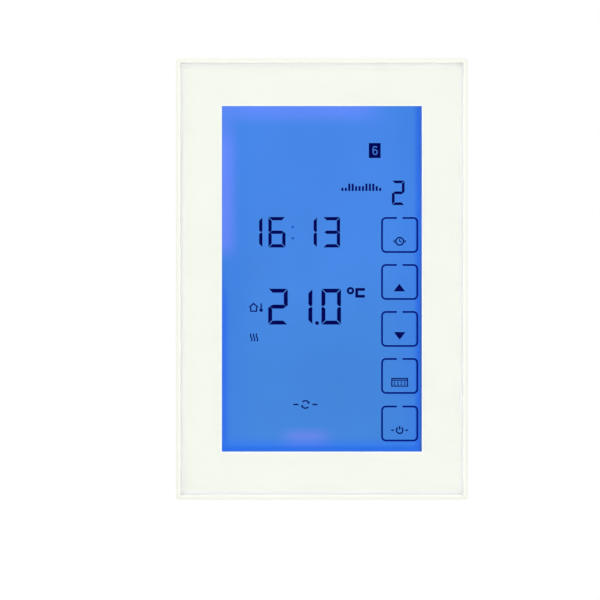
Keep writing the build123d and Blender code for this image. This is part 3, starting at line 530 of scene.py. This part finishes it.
# Plastics give roughness, grain size and grain depth in mm, and some a gloss coat; metals give
# roughness and line pitch in mm; clear sheets give their refractive index
FINISHES = {
    "frame_plastic": moulded_plastic("frame_plastic", CREAM, 0.32, 0.3, 0.002, 0.15),
    "seam_sealant_painted_glow": seam_sealant_painted_glow(),
    "cover_glass": clear_sheet("cover_glass", (0.985, 0.995, 0.985, 1.0), 1.5, haze=0.01),
    "border_ink": border_ink(),
    "adhesive_tape": rubber("adhesive_tape", srgb(38, 38, 40)),
    "touch_film": clear_sheet("touch_film", (0.99, 0.99, 1.0, 1.0), 1.2),
    "flex_circuit": moulded_plastic("flex_circuit", srgb(196, 128, 46), 0.25, 0.6, 0.003),
    "polariser_film": lit_film("lit_display", 1.07),
    "lcd_glass": clear_sheet("lcd_glass", (0.9, 0.95, 1.0, 1.0), 1.5),
    "contact_rubber": rubber("contact_rubber", srgb(214, 150, 160)),
    "diffuser_film": moulded_plastic("diffuser_film", srgb(240, 243, 248), 0.6, 0.15, 0.004),
    "light_guide_acrylic": clear_sheet("light_guide_acrylic", (0.92, 0.96, 1.0, 1.0), 1.49, 0.05),
    "reflector_film": moulded_plastic("reflector_film", srgb(246, 246, 246), 0.3, 0.5, 0.002),
    "led_package": moulded_plastic("led_package", srgb(238, 232, 190), 0.3, 0.4, 0.004),
    "white_plastic": moulded_plastic("white_plastic", srgb(240, 240, 238), 0.45, 0.4, 0.005),
    "circuit_board": circuit_board(),
    "chip_black": moulded_plastic("chip_black", srgb(34, 34, 36), 0.55, 0.15, 0.008),
    "bright_steel": plated_metal("bright_steel", NICKEL, NICKEL_DULL, 0.2, 0.1),
    "zinc_steel": plated_metal("zinc_steel", ZINC, ZINC_DULL, 0.34, 0.25),
    "black_plastic": moulded_plastic("black_plastic", srgb(30, 30, 32), 0.5, 0.3, 0.008),
    "cover_plastic": moulded_plastic("cover_plastic", srgb(220, 220, 211), 0.55, 0.45, 0.012),
    "housing_plastic": moulded_plastic("housing_plastic", srgb(214, 214, 205), 0.55, 0.45, 0.012),
    "terminal_plastic": moulded_plastic("terminal_plastic", srgb(40, 104, 62), 0.45, 0.35, 0.006),
    "tinned_brass": plated_metal("tinned_brass", TIN, TIN_DULL, 0.28, 0.15),
    "relay_blue": moulded_plastic("relay_blue", srgb(34, 84, 164), 0.28, 0.5, 0.003, 0.2),
    "copper_winding": copper_winding(),
    "capacitor_case": moulded_plastic("capacitor_case", srgb(222, 190, 60), 0.4, 0.4, 0.006),
    "varistor_coat": moulded_plastic("varistor_coat", srgb(36, 82, 160), 0.25, 1.2, 0.03, 0.3),
    "ferrite": moulded_plastic("ferrite", srgb(58, 58, 62), 0.6, 0.2, 0.01),
    "aluminium_can": plated_metal("aluminium_can", ALUMINIUM, ALUMINIUM_DULL, 0.25, 0.12),
}


def dress_frame():
    """Gives every carried-over part the finish of its slot."""
    for part in frame["record"]["subparts"]:
        shown = frame["nodes"][part["node"]]
        for place in shown.material_slots:
            place.material = FINISHES[part["material_slot"]]


# ---------------------------------------------------------------- thin marks


def arc(centre_x, centre_z, radius, start, end, steps=10):
    """Points of an arc, in degrees anticlockwise from +X."""
    points = []
    for step in range(steps + 1):
        angle = math.radians(start + (end - start) * step / steps)
        points.append((centre_x + radius * math.cos(angle), centre_z + radius * math.sin(angle)))
    return points


def circle(centre_x, centre_z, radius, corners):
    """Corner points of a whole circle."""
    return arc(centre_x, centre_z, radius, 0, 360 - 360 / corners, corners - 1)


def rounded_outline(width, height, radius, steps=6):
    """Corner points of a rounded rectangle about the origin, anticlockwise, in millimetres."""
    side = width / 2 - radius
    end = height / 2 - radius
    points = []
    for x, z, start in ((side, end, 0), (-side, end, 90), (-side, -end, 180), (side, -end, 270)):
        points += arc(x, z, radius, start, start + 90, steps)
    return points


def offset_sides(points, width, closed):
    """Left and right edges of a line of that width, mitred at its corners."""
    no_length = 1e-9
    sharpest_mitre = 0.4
    count = len(points)
    left = []
    right = []
    for i, (x, z) in enumerate(points):
        before = points[(i - 1) % count] if closed or i else points[i]
        after = points[(i + 1) % count] if closed or i < count - 1 else points[i]
        first = Vector((x - before[0], z - before[1]))
        second = Vector((after[0] - x, after[1] - z))
        if first.length < no_length:
            first = second
        if second.length < no_length:
            second = first
        first.normalize()
        second.normalize()
        along = (first + second).normalized()
        across = Vector((-along.y, along.x))
        reach = width / 2 / max(sharpest_mitre, abs(along.dot(first)))
        left.append((x + across.x * reach, z + across.y * reach))
        right.append((x - across.x * reach, z - across.y * reach))
    return left, right


class Marks:
    """Flat shapes parallel to the face, drawn in millimetres and cut as one thin solid piece."""

    def __init__(self):
        self.mesh = bmesh.new()

    def _corner(self, x, z, y):
        """Corner at x, z in millimetres and level y in metres."""
        return self.mesh.verts.new((x * MM, y, z * MM))

    def solid(self, outline, back, front):
        """One filled outline; back and front are its Y levels."""
        low = [self._corner(x, z, back) for x, z in outline]
        high = [self._corner(x, z, front) for x, z in outline]
        self.mesh.faces.new(low)
        self.mesh.faces.new(list(reversed(high)))
        count = len(outline)
        for i in range(count):
            j = (i + 1) % count
            self.mesh.faces.new((low[j], low[i], high[i], high[j]))

    def line(self, points, width, back, front, closed=False):
        """A line of that width along the points."""
        left, right = offset_sides(points, width, closed)
        rows = []
        for (lx, lz), (rx, rz) in zip(left, right):
            rows.append(
                (
                    self._corner(lx, lz, back),
                    self._corner(rx, rz, back),
                    self._corner(rx, rz, front),
                    self._corner(lx, lz, front),
                )
            )
        count = len(rows)
        for i in range(count if closed else count - 1):
            here = rows[i]
            there = rows[(i + 1) % count]
            for a in range(4):
                b = (a + 1) % 4
                self.mesh.faces.new((here[a], here[b], there[b], there[a]))
        if not closed:
            self.mesh.faces.new(rows[0])
            self.mesh.faces.new(tuple(reversed(rows[-1])))

    def finish(self, name, material, body, slot):
        """Makes the piece, which rides on that body and takes that material; slot is not used."""
        bmesh.ops.recalc_face_normals(self.mesh, faces=self.mesh.faces)
        data = bpy.data.meshes.new(name)
        self.mesh.to_mesh(data)
        self.mesh.free()
        piece = bpy.data.objects.new(name, data)
        bpy.context.scene.collection.objects.link(piece)
        data.materials.append(material)
        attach(piece, body)
        return piece


class LevelMarks(Marks):
    """Marks that all lie between one back level and one front level, in metres."""

    def __init__(self, back, front):
        super().__init__()
        self.back = back
        self.front = front

    def fill(self, outline):
        """A filled outline between the levels."""
        self.solid(outline, self.back, self.front)

    def stroke(self, points, width, closed=False):
        """A line along the points between the levels."""
        self.line(points, width, self.back, self.front, closed)

    def box(self, x, z, width, height):
        """A filled rectangle about x, z."""
        self.fill(
            [
                (x - width / 2, z - height / 2),
                (x + width / 2, z - height / 2),
                (x + width / 2, z + height / 2),
                (x - width / 2, z + height / 2),
            ]
        )

    def ring(self, x, z, radius, width):
        """A closed round line about x, z."""
        self.stroke(circle(x, z, radius, 32), width, closed=True)

    def disc(self, x, z, radius):
        """A filled circle about x, z."""
        self.fill(circle(x, z, radius, 16))


class DisplayMarks(LevelMarks):
    """Marks in the display, between its front film and the touch film."""

    def __init__(self):
        super().__init__(INK_BACK, INK_FRONT)


# ---------------------------------------------------------------- cover glass

GLASS_CORNER = 0.5


def make_cover_glass():
    """Float glass with ground and polished edges, a hair clear of the print behind it."""
    low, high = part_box("cover_glass")
    print_clearance = 0.02 * MM
    front_arris = 0.03 * MM
    level_tolerance = 1e-7
    outline = rounded_outline((high.x - low.x) / MM, (high.z - low.z) / MM, GLASS_CORNER)
    glass = Marks()
    glass.solid(outline, high.y - print_clearance, low.y)
    front_edges = [
        edge
        for edge in glass.mesh.edges
        if all(abs(corner.co.y - low.y) < level_tolerance for corner in edge.verts)
    ]
    bmesh.ops.bevel(glass.mesh, geom=front_edges, offset=front_arris, segments=2, affect="EDGES")
    piece = glass.finish("glass_plate", FINISHES["cover_glass"], FRONT_BODY, "cover_glass")
    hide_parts("cover_glass")


def make_glass_seam():
    """Sealant run into the hair gap round the glass and into the margin outside its print."""
    low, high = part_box("cover_glass")
    print_low, print_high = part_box("border_print")
    width = (high.x - low.x) / MM
    height = (high.z - low.z) / MM
    gap = 0.1
    sealant_width = 0.08
    proud = 0.04 * MM
    print_clearance = 0.01 * MM
    seam = Marks()
    around = rounded_outline(width + gap, height + gap, GLASS_CORNER + gap / 2)
    seam.line(around, sealant_width, high.y, low.y - proud, closed=True)
    margin = rounded_outline(width - gap, height - gap, GLASS_CORNER - gap / 2)
    seam.line(margin, sealant_width, print_high.y, print_low.y + print_clearance, closed=True)
    seam.finish("glass_seam", FINISHES["seam_sealant_painted_glow"], FRONT_BODY, "frame_plastic")


# ---------------------------------------------------------------- figures in the display

# Segments that make each digit: a is the top bar, b to f go round clockwise, g is the middle bar
SEGMENTS_ON = {
    "0": "abcdef",
    "1": "bc",
    "2": "abdeg",
    "3": "abcdg",
    "4": "bcfg",
    "5": "acdfg",
    "6": "acdefg",
}


def draw_digit(marks, digit, x, z, width, height, stroke, facing=1):
    """A seven-segment digit centred at x, z, with mitred segment ends; facing is -1 from behind."""
    gap = 0.075 * stroke
    inset = gap * 2
    left = x - width / 2
    right = x + width / 2
    top = z + height / 2
    foot = z - height / 2
    shoulder = stroke * 0.5
    outlines = {
        "a": [
            (left + inset, top),
            (right - inset, top),
            (right - inset - stroke, top - stroke),
            (left + inset + stroke, top - stroke),
        ],
        "d": [
            (left + inset + stroke, foot + stroke),
            (right - inset - stroke, foot + stroke),
            (right - inset, foot),
            (left + inset, foot),
        ],
        "g": [
            (left + inset + shoulder * 0.5, z),
            (left + inset + stroke, z + shoulder),
            (right - inset - stroke, z + shoulder),
            (right - inset - shoulder * 0.5, z),
            (right - inset - stroke, z - shoulder),
            (left + inset + stroke, z - shoulder),
        ],
    }
    for name, outer, inner, end, side in (
        ("b", right, right - stroke, top, 1),
        ("f", left, left + stroke, top, 1),
        ("c", right, right - stroke, foot, -1),
        ("e", left, left + stroke, foot, -1),
    ):
        outlines[name] = [
            (outer, end - side * inset),
            (outer, z + side * (gap + shoulder * 0.3)),
            ((outer + inner) / 2, z + side * gap),
            (inner, z + side * (gap + shoulder)),
            (inner, end - side * (inset + stroke)),
        ]
    for name in SEGMENTS_ON[digit]:
        marks.fill([(x + facing * (corner - x), level) for corner, level in outlines[name]])


def draw_clock_time(ink):
    """Time of day, four digits."""
    centres = (-17.75, -11.72, -3.53, 2.53)
    level = 12.16
    marks = DisplayMarks()
    for digit, x in zip("1613", centres):
        draw_digit(marks, digit, x, level, width=4.47, height=7.95, stroke=0.86)
    marks.finish("clock_digits", ink, FRONT_BODY, "polariser_film")


def draw_temperature(ink):
    """Room temperature with its decimal point, degree ring and unit."""
    centres = (-11.45, -5.03, 2.45)
    level = -7.26
    unit_left, unit_right = 9.1, 11.25
    unit_top, unit_foot = -2.76, -4.56
    unit = [
        (unit_right, unit_top),
        (unit_left, unit_top),
        (unit_left, unit_foot),
        (unit_right, unit_foot),
    ]
    marks = DisplayMarks()
    for digit, x in zip("210", centres):
        draw_digit(marks, digit, x, level, width=5.1, height=9.35, stroke=1.03)
    marks.disc(-1.25, -11.55, radius=0.5)
    marks.ring(7.47, -3.1, radius=0.68, width=0.57)
    marks.stroke(unit, width=0.72)
    marks.finish("temperature_digits", ink, FRONT_BODY, "polariser_film")


def draw_program_number(ink):
    """Number of the running programme."""
    marks = DisplayMarks()
    draw_digit(marks, "2", 19.95, 22.46, width=3.3, height=6.4, stroke=0.7)
    marks.finish("program_digit", ink, FRONT_BODY, "polariser_film")


def draw_tall_six(marks, x, z):
    """Narrow printed figure six: its bowl, then up its back and over its head."""
    bend = 0.54
    reach = 0.5
    line = 0.27
    bowl = arc(x, z - 0.36, bend, 170, 0, 8) + arc(x, z - reach, bend, 0, -180, 8)
    head = arc(x, z + reach, bend, 180, 30, 8)
    marks.stroke(bowl + head, line)


def draw_day(ink, clearing):
    """Dark box with the number of the day clear inside it."""
    level = 33.5
    marks = DisplayMarks()
    marks.box(13.82, level, width=3.08, height=3.92)
    marks.finish("day_box", ink, FRONT_BODY, "polariser_film")
    ink_depth = INK_FRONT - INK_BACK
    number = LevelMarks(INK_FRONT + 0.2 * ink_depth, INK_FRONT + 0.5 * ink_depth)
    draw_tall_six(number, 13.9, level)
    number.finish("day_number", clearing, FRONT_BODY, "polariser_film")


def draw_colon(ink):
    """The colon's two dots, faint because they are switched off at this moment."""
    marks = DisplayMarks()
    for z in (13.5, 10.6):
        marks.disc(-7.6, z, radius=0.35)
    marks.finish("colon_dots", ink, FRONT_BODY, "polariser_film")


# ---------------------------------------------------------------- touch keys

KEYS = range(5)
CLOCK_KEY, UP_KEY, DOWN_KEY, WEEK_KEY, POWER_KEY = KEYS
KEY_X = 20.32
KEY_TOP_Z = 11.45
KEY_PITCH = 12.27
KEY_WIDTH = 9.2
KEY_HEIGHT = 8.88
KEY_CORNER = 1.0
KEY_LINE = 0.48
KEY_GAP = 1.5
KEY_SYMBOL_DROP = 1.65
POWER_KEY_DROP = 0.15


def key_centre(number):
    """Height of a key's middle; the power key sits a little apart from the others."""
    apart = POWER_KEY_DROP if number == POWER_KEY else 0.0
    return KEY_TOP_Z - number * KEY_PITCH - apart


def draw_key_outline(marks, z):
    """Rounded square, open for a short gap in the middle of its top side."""
    side = KEY_WIDTH / 2 - KEY_CORNER
    end = KEY_HEIGHT / 2 - KEY_CORNER
    points = [(KEY_X + KEY_GAP / 2, z + KEY_HEIGHT / 2)]
    points += arc(KEY_X + side, z + end, KEY_CORNER, 90, 0, 6)
    points += arc(KEY_X + side, z - end, KEY_CORNER, 0, -90, 6)
    points += arc(KEY_X - side, z - end, KEY_CORNER, -90, -180, 6)
    points += arc(KEY_X - side, z + end, KEY_CORNER, 180, 90, 6)
    points += [(KEY_X - KEY_GAP / 2, z + KEY_HEIGHT / 2)]
    marks.stroke(points, KEY_LINE)


def draw_keys(ink):
    """Outlines of the keys, each a piece of its own."""
    for number in KEYS:
        marks = DisplayMarks()
        draw_key_outline(marks, key_centre(number))
        marks.finish(f"key_outline_{number + 1}", ink, FRONT_BODY, "polariser_film")


def draw_clock_symbol(marks, x, z):
    """Clock face with two hands, between two short upright bars."""
    hands = [(x, z + 0.62), (x, z), (x + 0.48, z - 0.22)]
    bar_out = 1.42
    bar_half = 0.35
    marks.ring(x, z, radius=1.0, width=0.36)
    marks.stroke(hands, 0.28)
    for side in (-1, 1):
        bar_x = x + side * bar_out
        marks.stroke([(bar_x, z + bar_half), (bar_x, z - bar_half)], 0.3)


def draw_arrow_symbol(marks, x, z, direction):
    """Solid arrowhead; direction is 1 for up and -1 for down."""
    half = 1.5
    rise = 1.0 * direction
    marks.fill([(x - half, z - rise), (x + half, z - rise), (x, z + rise)][::direction])


def draw_week_symbol(marks, x, z):
    """Week sheet: a wide frame with a heading bar and two rows of days."""
    half_width = 2.05
    half_height = 1.0
    frame_line = [
        (x - half_width, z - half_height),
        (x + half_width, z - half_height),
        (x + half_width, z + half_height),
        (x - half_width, z + half_height),
    ]
    line = 0.3
    day_width = 0.46
    marks.stroke(frame_line, line, closed=True)
    marks.box(x, z + 0.55, 2 * half_width - line, line)
    for column in (-1.35, -0.45, 0.45, 1.35):
        for row in (0.02, -0.5):
            marks.box(x + column, z + row, day_width, line)


def draw_power_symbol(marks, x, z):
    """Power sign between two short bars."""
    line = 0.36
    bar_level = z - 0.1
    marks.stroke(arc(x, z - 0.08, 0.84, 125, 415, 28), line)
    marks.stroke([(x, z + 0.05), (x, z + 1.02)], line)
    for side in (-1, 1):
        marks.stroke([(x + side * 1.5, bar_level), (x + side * 2.2, bar_level)], line)


def draw_key_symbols(printed, dark):
    """Symbols low in each key: clock, up, down, week and power."""
    marks = DisplayMarks()
    drop = KEY_SYMBOL_DROP
    draw_clock_symbol(marks, KEY_X, key_centre(CLOCK_KEY) - drop)
    draw_week_symbol(marks, KEY_X, key_centre(WEEK_KEY) - drop)
    draw_power_symbol(marks, KEY_X, key_centre(POWER_KEY) - drop)
    marks.finish("key_symbols", printed, FRONT_BODY, "polariser_film")
    arrows = DisplayMarks()
    draw_arrow_symbol(arrows, KEY_X - 0.08, key_centre(UP_KEY) - drop + 0.2, 1)
    draw_arrow_symbol(arrows, KEY_X, key_centre(DOWN_KEY) - drop - 0.16, -1)
    arrows.finish("key_arrows", dark, FRONT_BODY, "polariser_film")


# ---------------------------------------------------------------- state symbols


def draw_program_bars(marks, x, z):
    """A day's programme as a row of bars, high where the room is kept warm."""
    low, middle, high = 0.8, 1.25, 1.9
    heights = (low, low, high, high, middle, middle, middle, high, high, high, middle, low)
    row_width = 10.4
    bar_width = 0.55
    span = row_width - bar_width
    foot = z - high / 2
    for number, height in enumerate(heights):
        along = number / (len(heights) - 1) - 0.5
        marks.box(x + along * span, foot + height / 2, bar_width, height)


def draw_repeat_symbol(marks, x, z):
    """Two arrows chasing each other round, with a dash on each side."""
    radius = 0.98
    barb = 0.5
    tip_angle, wing_angle = 8, 34
    line_start, line_end = 24, 142
    for turn in (0, 180):
        marks.stroke(arc(x, z, radius, line_start + turn, line_end + turn, 12), 0.36)
        tip = math.radians(tip_angle + turn)
        wing = math.radians(wing_angle + turn)
        reach = ((tip, radius), (wing, radius + barb), (wing, radius - barb))
        marks.fill([(x + r * math.cos(a), z + r * math.sin(a)) for a, r in reach])
    for side in (-1, 1):
        marks.box(x + side * 2.5, z, width=1.3, height=0.4)


def draw_room_symbol(marks, x, z):
    """House with a thermometer beside it."""
    roof = [(x - 1.75, z + 0.05), (x - 0.6, z + 1.05), (x + 0.55, z + 0.05)]
    walls = [(x - 1.35, z + 0.1), (x - 1.35, z - 0.95), (x + 0.15, z - 0.95), (x + 0.15, z + 0.1)]
    tube_x = x + 1.35
    marks.stroke(roof, 0.36)
    marks.stroke(walls, 0.34)
    marks.stroke([(tube_x, z + 1.1), (tube_x, z - 0.4)], 0.36)
    marks.disc(tube_x, z - 0.68, radius=0.46)


def draw_air_symbol(marks, x, z):
    """Three rising waves of warm air."""
    steps = 12
    spacing = 0.75
    swing = 0.2
    height = 2.0
    for shift in (-spacing, 0.0, spacing):
        points = []
        for step in range(steps + 1):
            rise = step / steps
            sway = swing * math.sin(rise * 2 * math.pi)
            points.append((x + shift + sway, z - height / 2 + height * rise))
        marks.stroke(points, 0.32)


def draw_state_symbols(ink):
    """Programme bars, repeat arrows, room and warm air."""
    marks = DisplayMarks()
    draw_program_bars(marks, 10.3, 23.9)
    draw_repeat_symbol(marks, -4.3, -32.8)
    draw_room_symbol(marks, -17.2, -7.5)
    draw_air_symbol(marks, -17.7, -15.3)
    marks.finish("state_symbols", ink, FRONT_BODY, "polariser_film")


def draw_display():
    """Every mark in the display, darkest where the crystal is switched on."""
    dark = display_mark("display_segment", srgb(0, 0, 84))
    printed = display_mark("display_print", srgb(0, 24, 130))
    symbols = display_mark("display_symbol", srgb(0, 10, 102))
    faint = display_mark("display_unlit", srgb(38, 94, 205))
    clearing = lit_film("lit_clearing", 0.9)
    draw_clock_time(dark)
    draw_temperature(dark)
    draw_program_number(dark)
    draw_day(dark, clearing)
    draw_colon(faint)
    draw_keys(printed)
    draw_key_symbols(symbols, dark)
    draw_state_symbols(symbols)


# ---------------------------------------------------------------- back of the wall box

LABEL_WIDTH = 37.6
LABEL_HEIGHT = 27.6
LABEL_CORNER = 0.8
LABEL_RECESS = 0.3 * MM
LABEL_THICKNESS = 0.12 * MM
PRINT_THICKNESS = 0.03 * MM
WAYS = 6


def label_film():
    """Silvered polyester label, slightly rippled where it was rubbed down."""
    material, w, shader = new_material("label_film")
    place = w.place()
    fibre = w.noise(w.drawn_out(place, 0.2), 1400.0)
    ripple = w.noise(place, 180.0, 3.0)
    w.join(w.mix(fibre, srgb(196, 199, 202), srgb(210, 213, 215)), shader["Base Color"])
    shader["Metallic"].default_value = 0.35
    w.join(w.math("MULTIPLY_ADD", ripple, 0.2, 0.3), shader["Roughness"])
    add_bump(w, shader, ripple, 0.03)
    return material


def label_ink():
    """Thermal print, a little thin in places."""
    material, w, shader = new_material("label_ink")
    worn = w.noise(w.place(), 2600.0, 3.0, 0.6)
    w.join(w.mix(w.ramp(worn, 0.6, 0.8), srgb(32, 32, 34), srgb(84, 85, 88)), shader["Base Color"])
    shader["Roughness"].default_value = 0.6
    return material


def way_x(number):
    """Middle of a terminal way, numbered from 1 like its cage and screw."""
    low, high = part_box(f"clamp_cage_{number}")
    return (low.x + high.x) / 2 / MM


def make_rating_label():
    """Blank rating label in its pocket, with a ruled border and a numbered row for the terminals."""
    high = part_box("rear_housing")[1]
    terminal_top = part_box("terminal_block")[1].z / MM
    floor_level = high.y - LABEL_RECESS
    middle_z = (high.z / MM + terminal_top) / 2
    film = LevelMarks(floor_level, floor_level + LABEL_THICKNESS)
    outline = rounded_outline(LABEL_WIDTH, LABEL_HEIGHT, LABEL_CORNER)
    film.fill([(x, z + middle_z) for x, z in outline])
    film.finish("rating_label", label_film(), WALL_BODY, "housing_plastic")
    face = floor_level + LABEL_THICKNESS
    rules = LevelMarks(face - PRINT_THICKNESS / 2, face + PRINT_THICKNESS)
    rule = 0.3
    edge = 1.2
    rule_shares = (0.22, 0.06, -0.1)
    border = rounded_outline(LABEL_WIDTH - 2 * edge, LABEL_HEIGHT - 2 * edge, LABEL_CORNER)
    rules.stroke([(x, z + middle_z) for x, z in border], rule, closed=True)
    inner_half = LABEL_WIDTH / 2 - 2 * edge
    for share in rule_shares:
        height = middle_z + share * LABEL_HEIGHT
        rules.stroke([(-inner_half, height), (inner_half, height)], rule)
    # One ruled cell for each terminal way, spread over the label's width
    cell = 4.6
    cell_corner = 0.5
    row_height = 5.2
    row_z = middle_z - LABEL_HEIGHT / 2 + row_height
    corners = rounded_outline(cell, cell, cell_corner, 3)
    spread = (2 * inner_half - cell) / (way_x(WAYS) - way_x(1))
    for number in range(1, WAYS + 1):
        x = way_x(number) * spread
        rules.stroke([(x + a, row_z + b) for a, b in corners], rule, closed=True)
        draw_digit(rules, str(number), x, row_z, width=1.5, height=2.6, stroke=0.36, facing=-1)
    rules.finish("label_print", FINISHES["label_ink"], WALL_BODY, "chip_black")


def make_way_numbers():
    """White numbers printed on the terminal block above its screws."""
    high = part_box("terminal_block")[1]
    below_top = 2.9
    level = high.z / MM - below_top
    numbers = LevelMarks(high.y - PRINT_THICKNESS / 2, high.y + PRINT_THICKNESS)
    for number in range(1, WAYS + 1):
        x = way_x(number)
        draw_digit(numbers, str(number), x, level, width=1.1, height=1.9, stroke=0.3, facing=-1)
    numbers.finish("way_numbers", FINISHES["way_ink"], WALL_BODY, "white_plastic")


# ---------------------------------------------------------------- camera, floor and light

CAMERA_LENS = 150.0
SENSOR = 36.0
VIEW_WIDTH = 156.25 * MM
VIEW_SHIFT = (-0.0364, -0.0353)
FLOOR_RADIUS = 0.75
FLOOR_DROP = 0.45

# Strength of the white surroundings, by how they are met
SOFT_LEVEL = 0.72
MIRRORED_LEVEL = 0.45
THROUGH_GLASS_LEVEL = 2.16
CARD_LEVEL = 0.03


def make_camera():
    """Long lens square to the face."""
    lens = bpy.data.cameras.new("camera")
    lens.sensor_width = SENSOR
    lens.lens = CAMERA_LENS
    lens.shift_x, lens.shift_y = VIEW_SHIFT
    lens.clip_start = 0.01
    camera = bpy.data.objects.new("camera", lens)
    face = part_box("cover_glass")[0].y
    distance = VIEW_WIDTH / 2 / (SENSOR / 2 / CAMERA_LENS)
    camera.location = (0.0, face - distance, 0.0)
    camera.rotation_euler = (math.radians(90), 0.0, 0.0)
    bpy.context.scene.collection.objects.link(camera)
    bpy.context.scene.camera = camera


def make_floor():
    """Plain pale floor, well below the thermostat, because the wall is left out."""
    material, w, shader = new_material("pale_floor")
    grain = w.noise(w.place(), 60.0, 3.0)
    pale = (0.93, 0.93, 0.93, 1.0)
    paler = (0.95, 0.95, 0.95, 1.0)
    w.join(w.mix(grain, pale, paler), shader["Base Color"])
    shader["Roughness"].default_value = 0.8
    height = cad_box[0].z - FLOOR_DROP
    rim = [(x, y, height) for x, y in circle(0, 0, FLOOR_RADIUS, 72)]
    data = bpy.data.meshes.new("floor")
    data.from_pydata(rim, [], [list(range(len(rim)))])
    data.materials.append(material)
    floor = bpy.data.objects.new("floor", data)
    floor.visible_transmission = False
    bpy.context.scene.collection.objects.link(floor)


def add_softbox(name, place, size, power):
    """Round lamp aimed at the object; it isn't seen by the eye or through glass."""
    lamp = bpy.data.lights.new(name, "AREA")
    lamp.shape = "DISK"
    lamp.size = size
    lamp.energy = power
    light = bpy.data.objects.new(name, lamp)
    light.location = place
    towards = -Vector(place)
    light.rotation_euler = towards.to_track_quat("-Z", "Y").to_euler()
    light.visible_camera = False
    light.visible_transmission = False
    bpy.context.scene.collection.objects.link(light)


def make_studio():
    """White surroundings for the eye, softer ones for light and mirrors, and a dark card in front."""
    world = bpy.data.worlds.new("studio")
    bpy.context.scene.world = world
    world.use_nodes = True
    w = Wiring(world.node_tree)
    background = world.node_tree.nodes["Background"]
    path = w.add("ShaderNodeLightPath")
    axes = w.add("ShaderNodeSeparateXYZ")
    w.join(w.add("ShaderNodeTexCoord").outputs["Generated"], axes.inputs[0])
    # Light that has left a dull surface; behind the glass it reaches the studio through the glass
    scattered = w.math("GREATER_THAN", path.outputs["Diffuse Depth"], 0.5)
    through = w.math("MULTIPLY", path.outputs["Is Transmission Ray"], scattered)
    mirrored = w.math("SUBTRACT", path.outputs["Is Glossy Ray"], through, clamp=True)
    plain = w.math("SUBTRACT", 1.0, path.outputs["Is Glossy Ray"], clamp=True)
    # The card hangs where the camera stands and keeps the studio out of the display's gloss
    dark_card = w.ramp(axes.outputs["Y"], -0.955, -0.975, 1.0, CARD_LEVEL)
    behind_glass = w.math("MULTIPLY", through, THROUGH_GLASS_LEVEL)
    glossy = w.math("MULTIPLY_ADD", mirrored, MIRRORED_LEVEL, behind_glass)
    lit = w.math("MULTIPLY_ADD", glossy, dark_card, w.math("MULTIPLY", plain, SOFT_LEVEL))
    strength = w.math("MAXIMUM", lit, path.outputs["Is Camera Ray"])
    background.inputs["Color"].default_value = (1.0, 1.0, 1.0, 1.0)
    w.join(strength, background.inputs["Strength"])
    add_softbox("key_light", (-0.55, -0.8, 0.75), size=0.7, power=4.5)
    add_softbox("fill_light", (0.8, -0.7, 0.15), size=0.8, power=2.0)
    add_softbox("low_fill", (0.1, -0.8, -0.7), size=0.6, power=1.6)
    add_softbox("back_light", (0.5, 0.9, 0.7), size=0.7, power=3.6)
    scene = bpy.context.scene
    scene.view_settings.view_transform = "Standard"
    scene.view_settings.look = "None"


make_camera()
FINISHES["label_ink"] = label_ink()
FINISHES["way_ink"] = moulded_plastic("way_ink", srgb(232, 234, 230), 0.5, 0.2, 0.002)
dress_frame()
make_cover_glass()
make_glass_seam()
draw_display()
make_rating_label()
make_way_numbers()
make_floor()
make_studio()
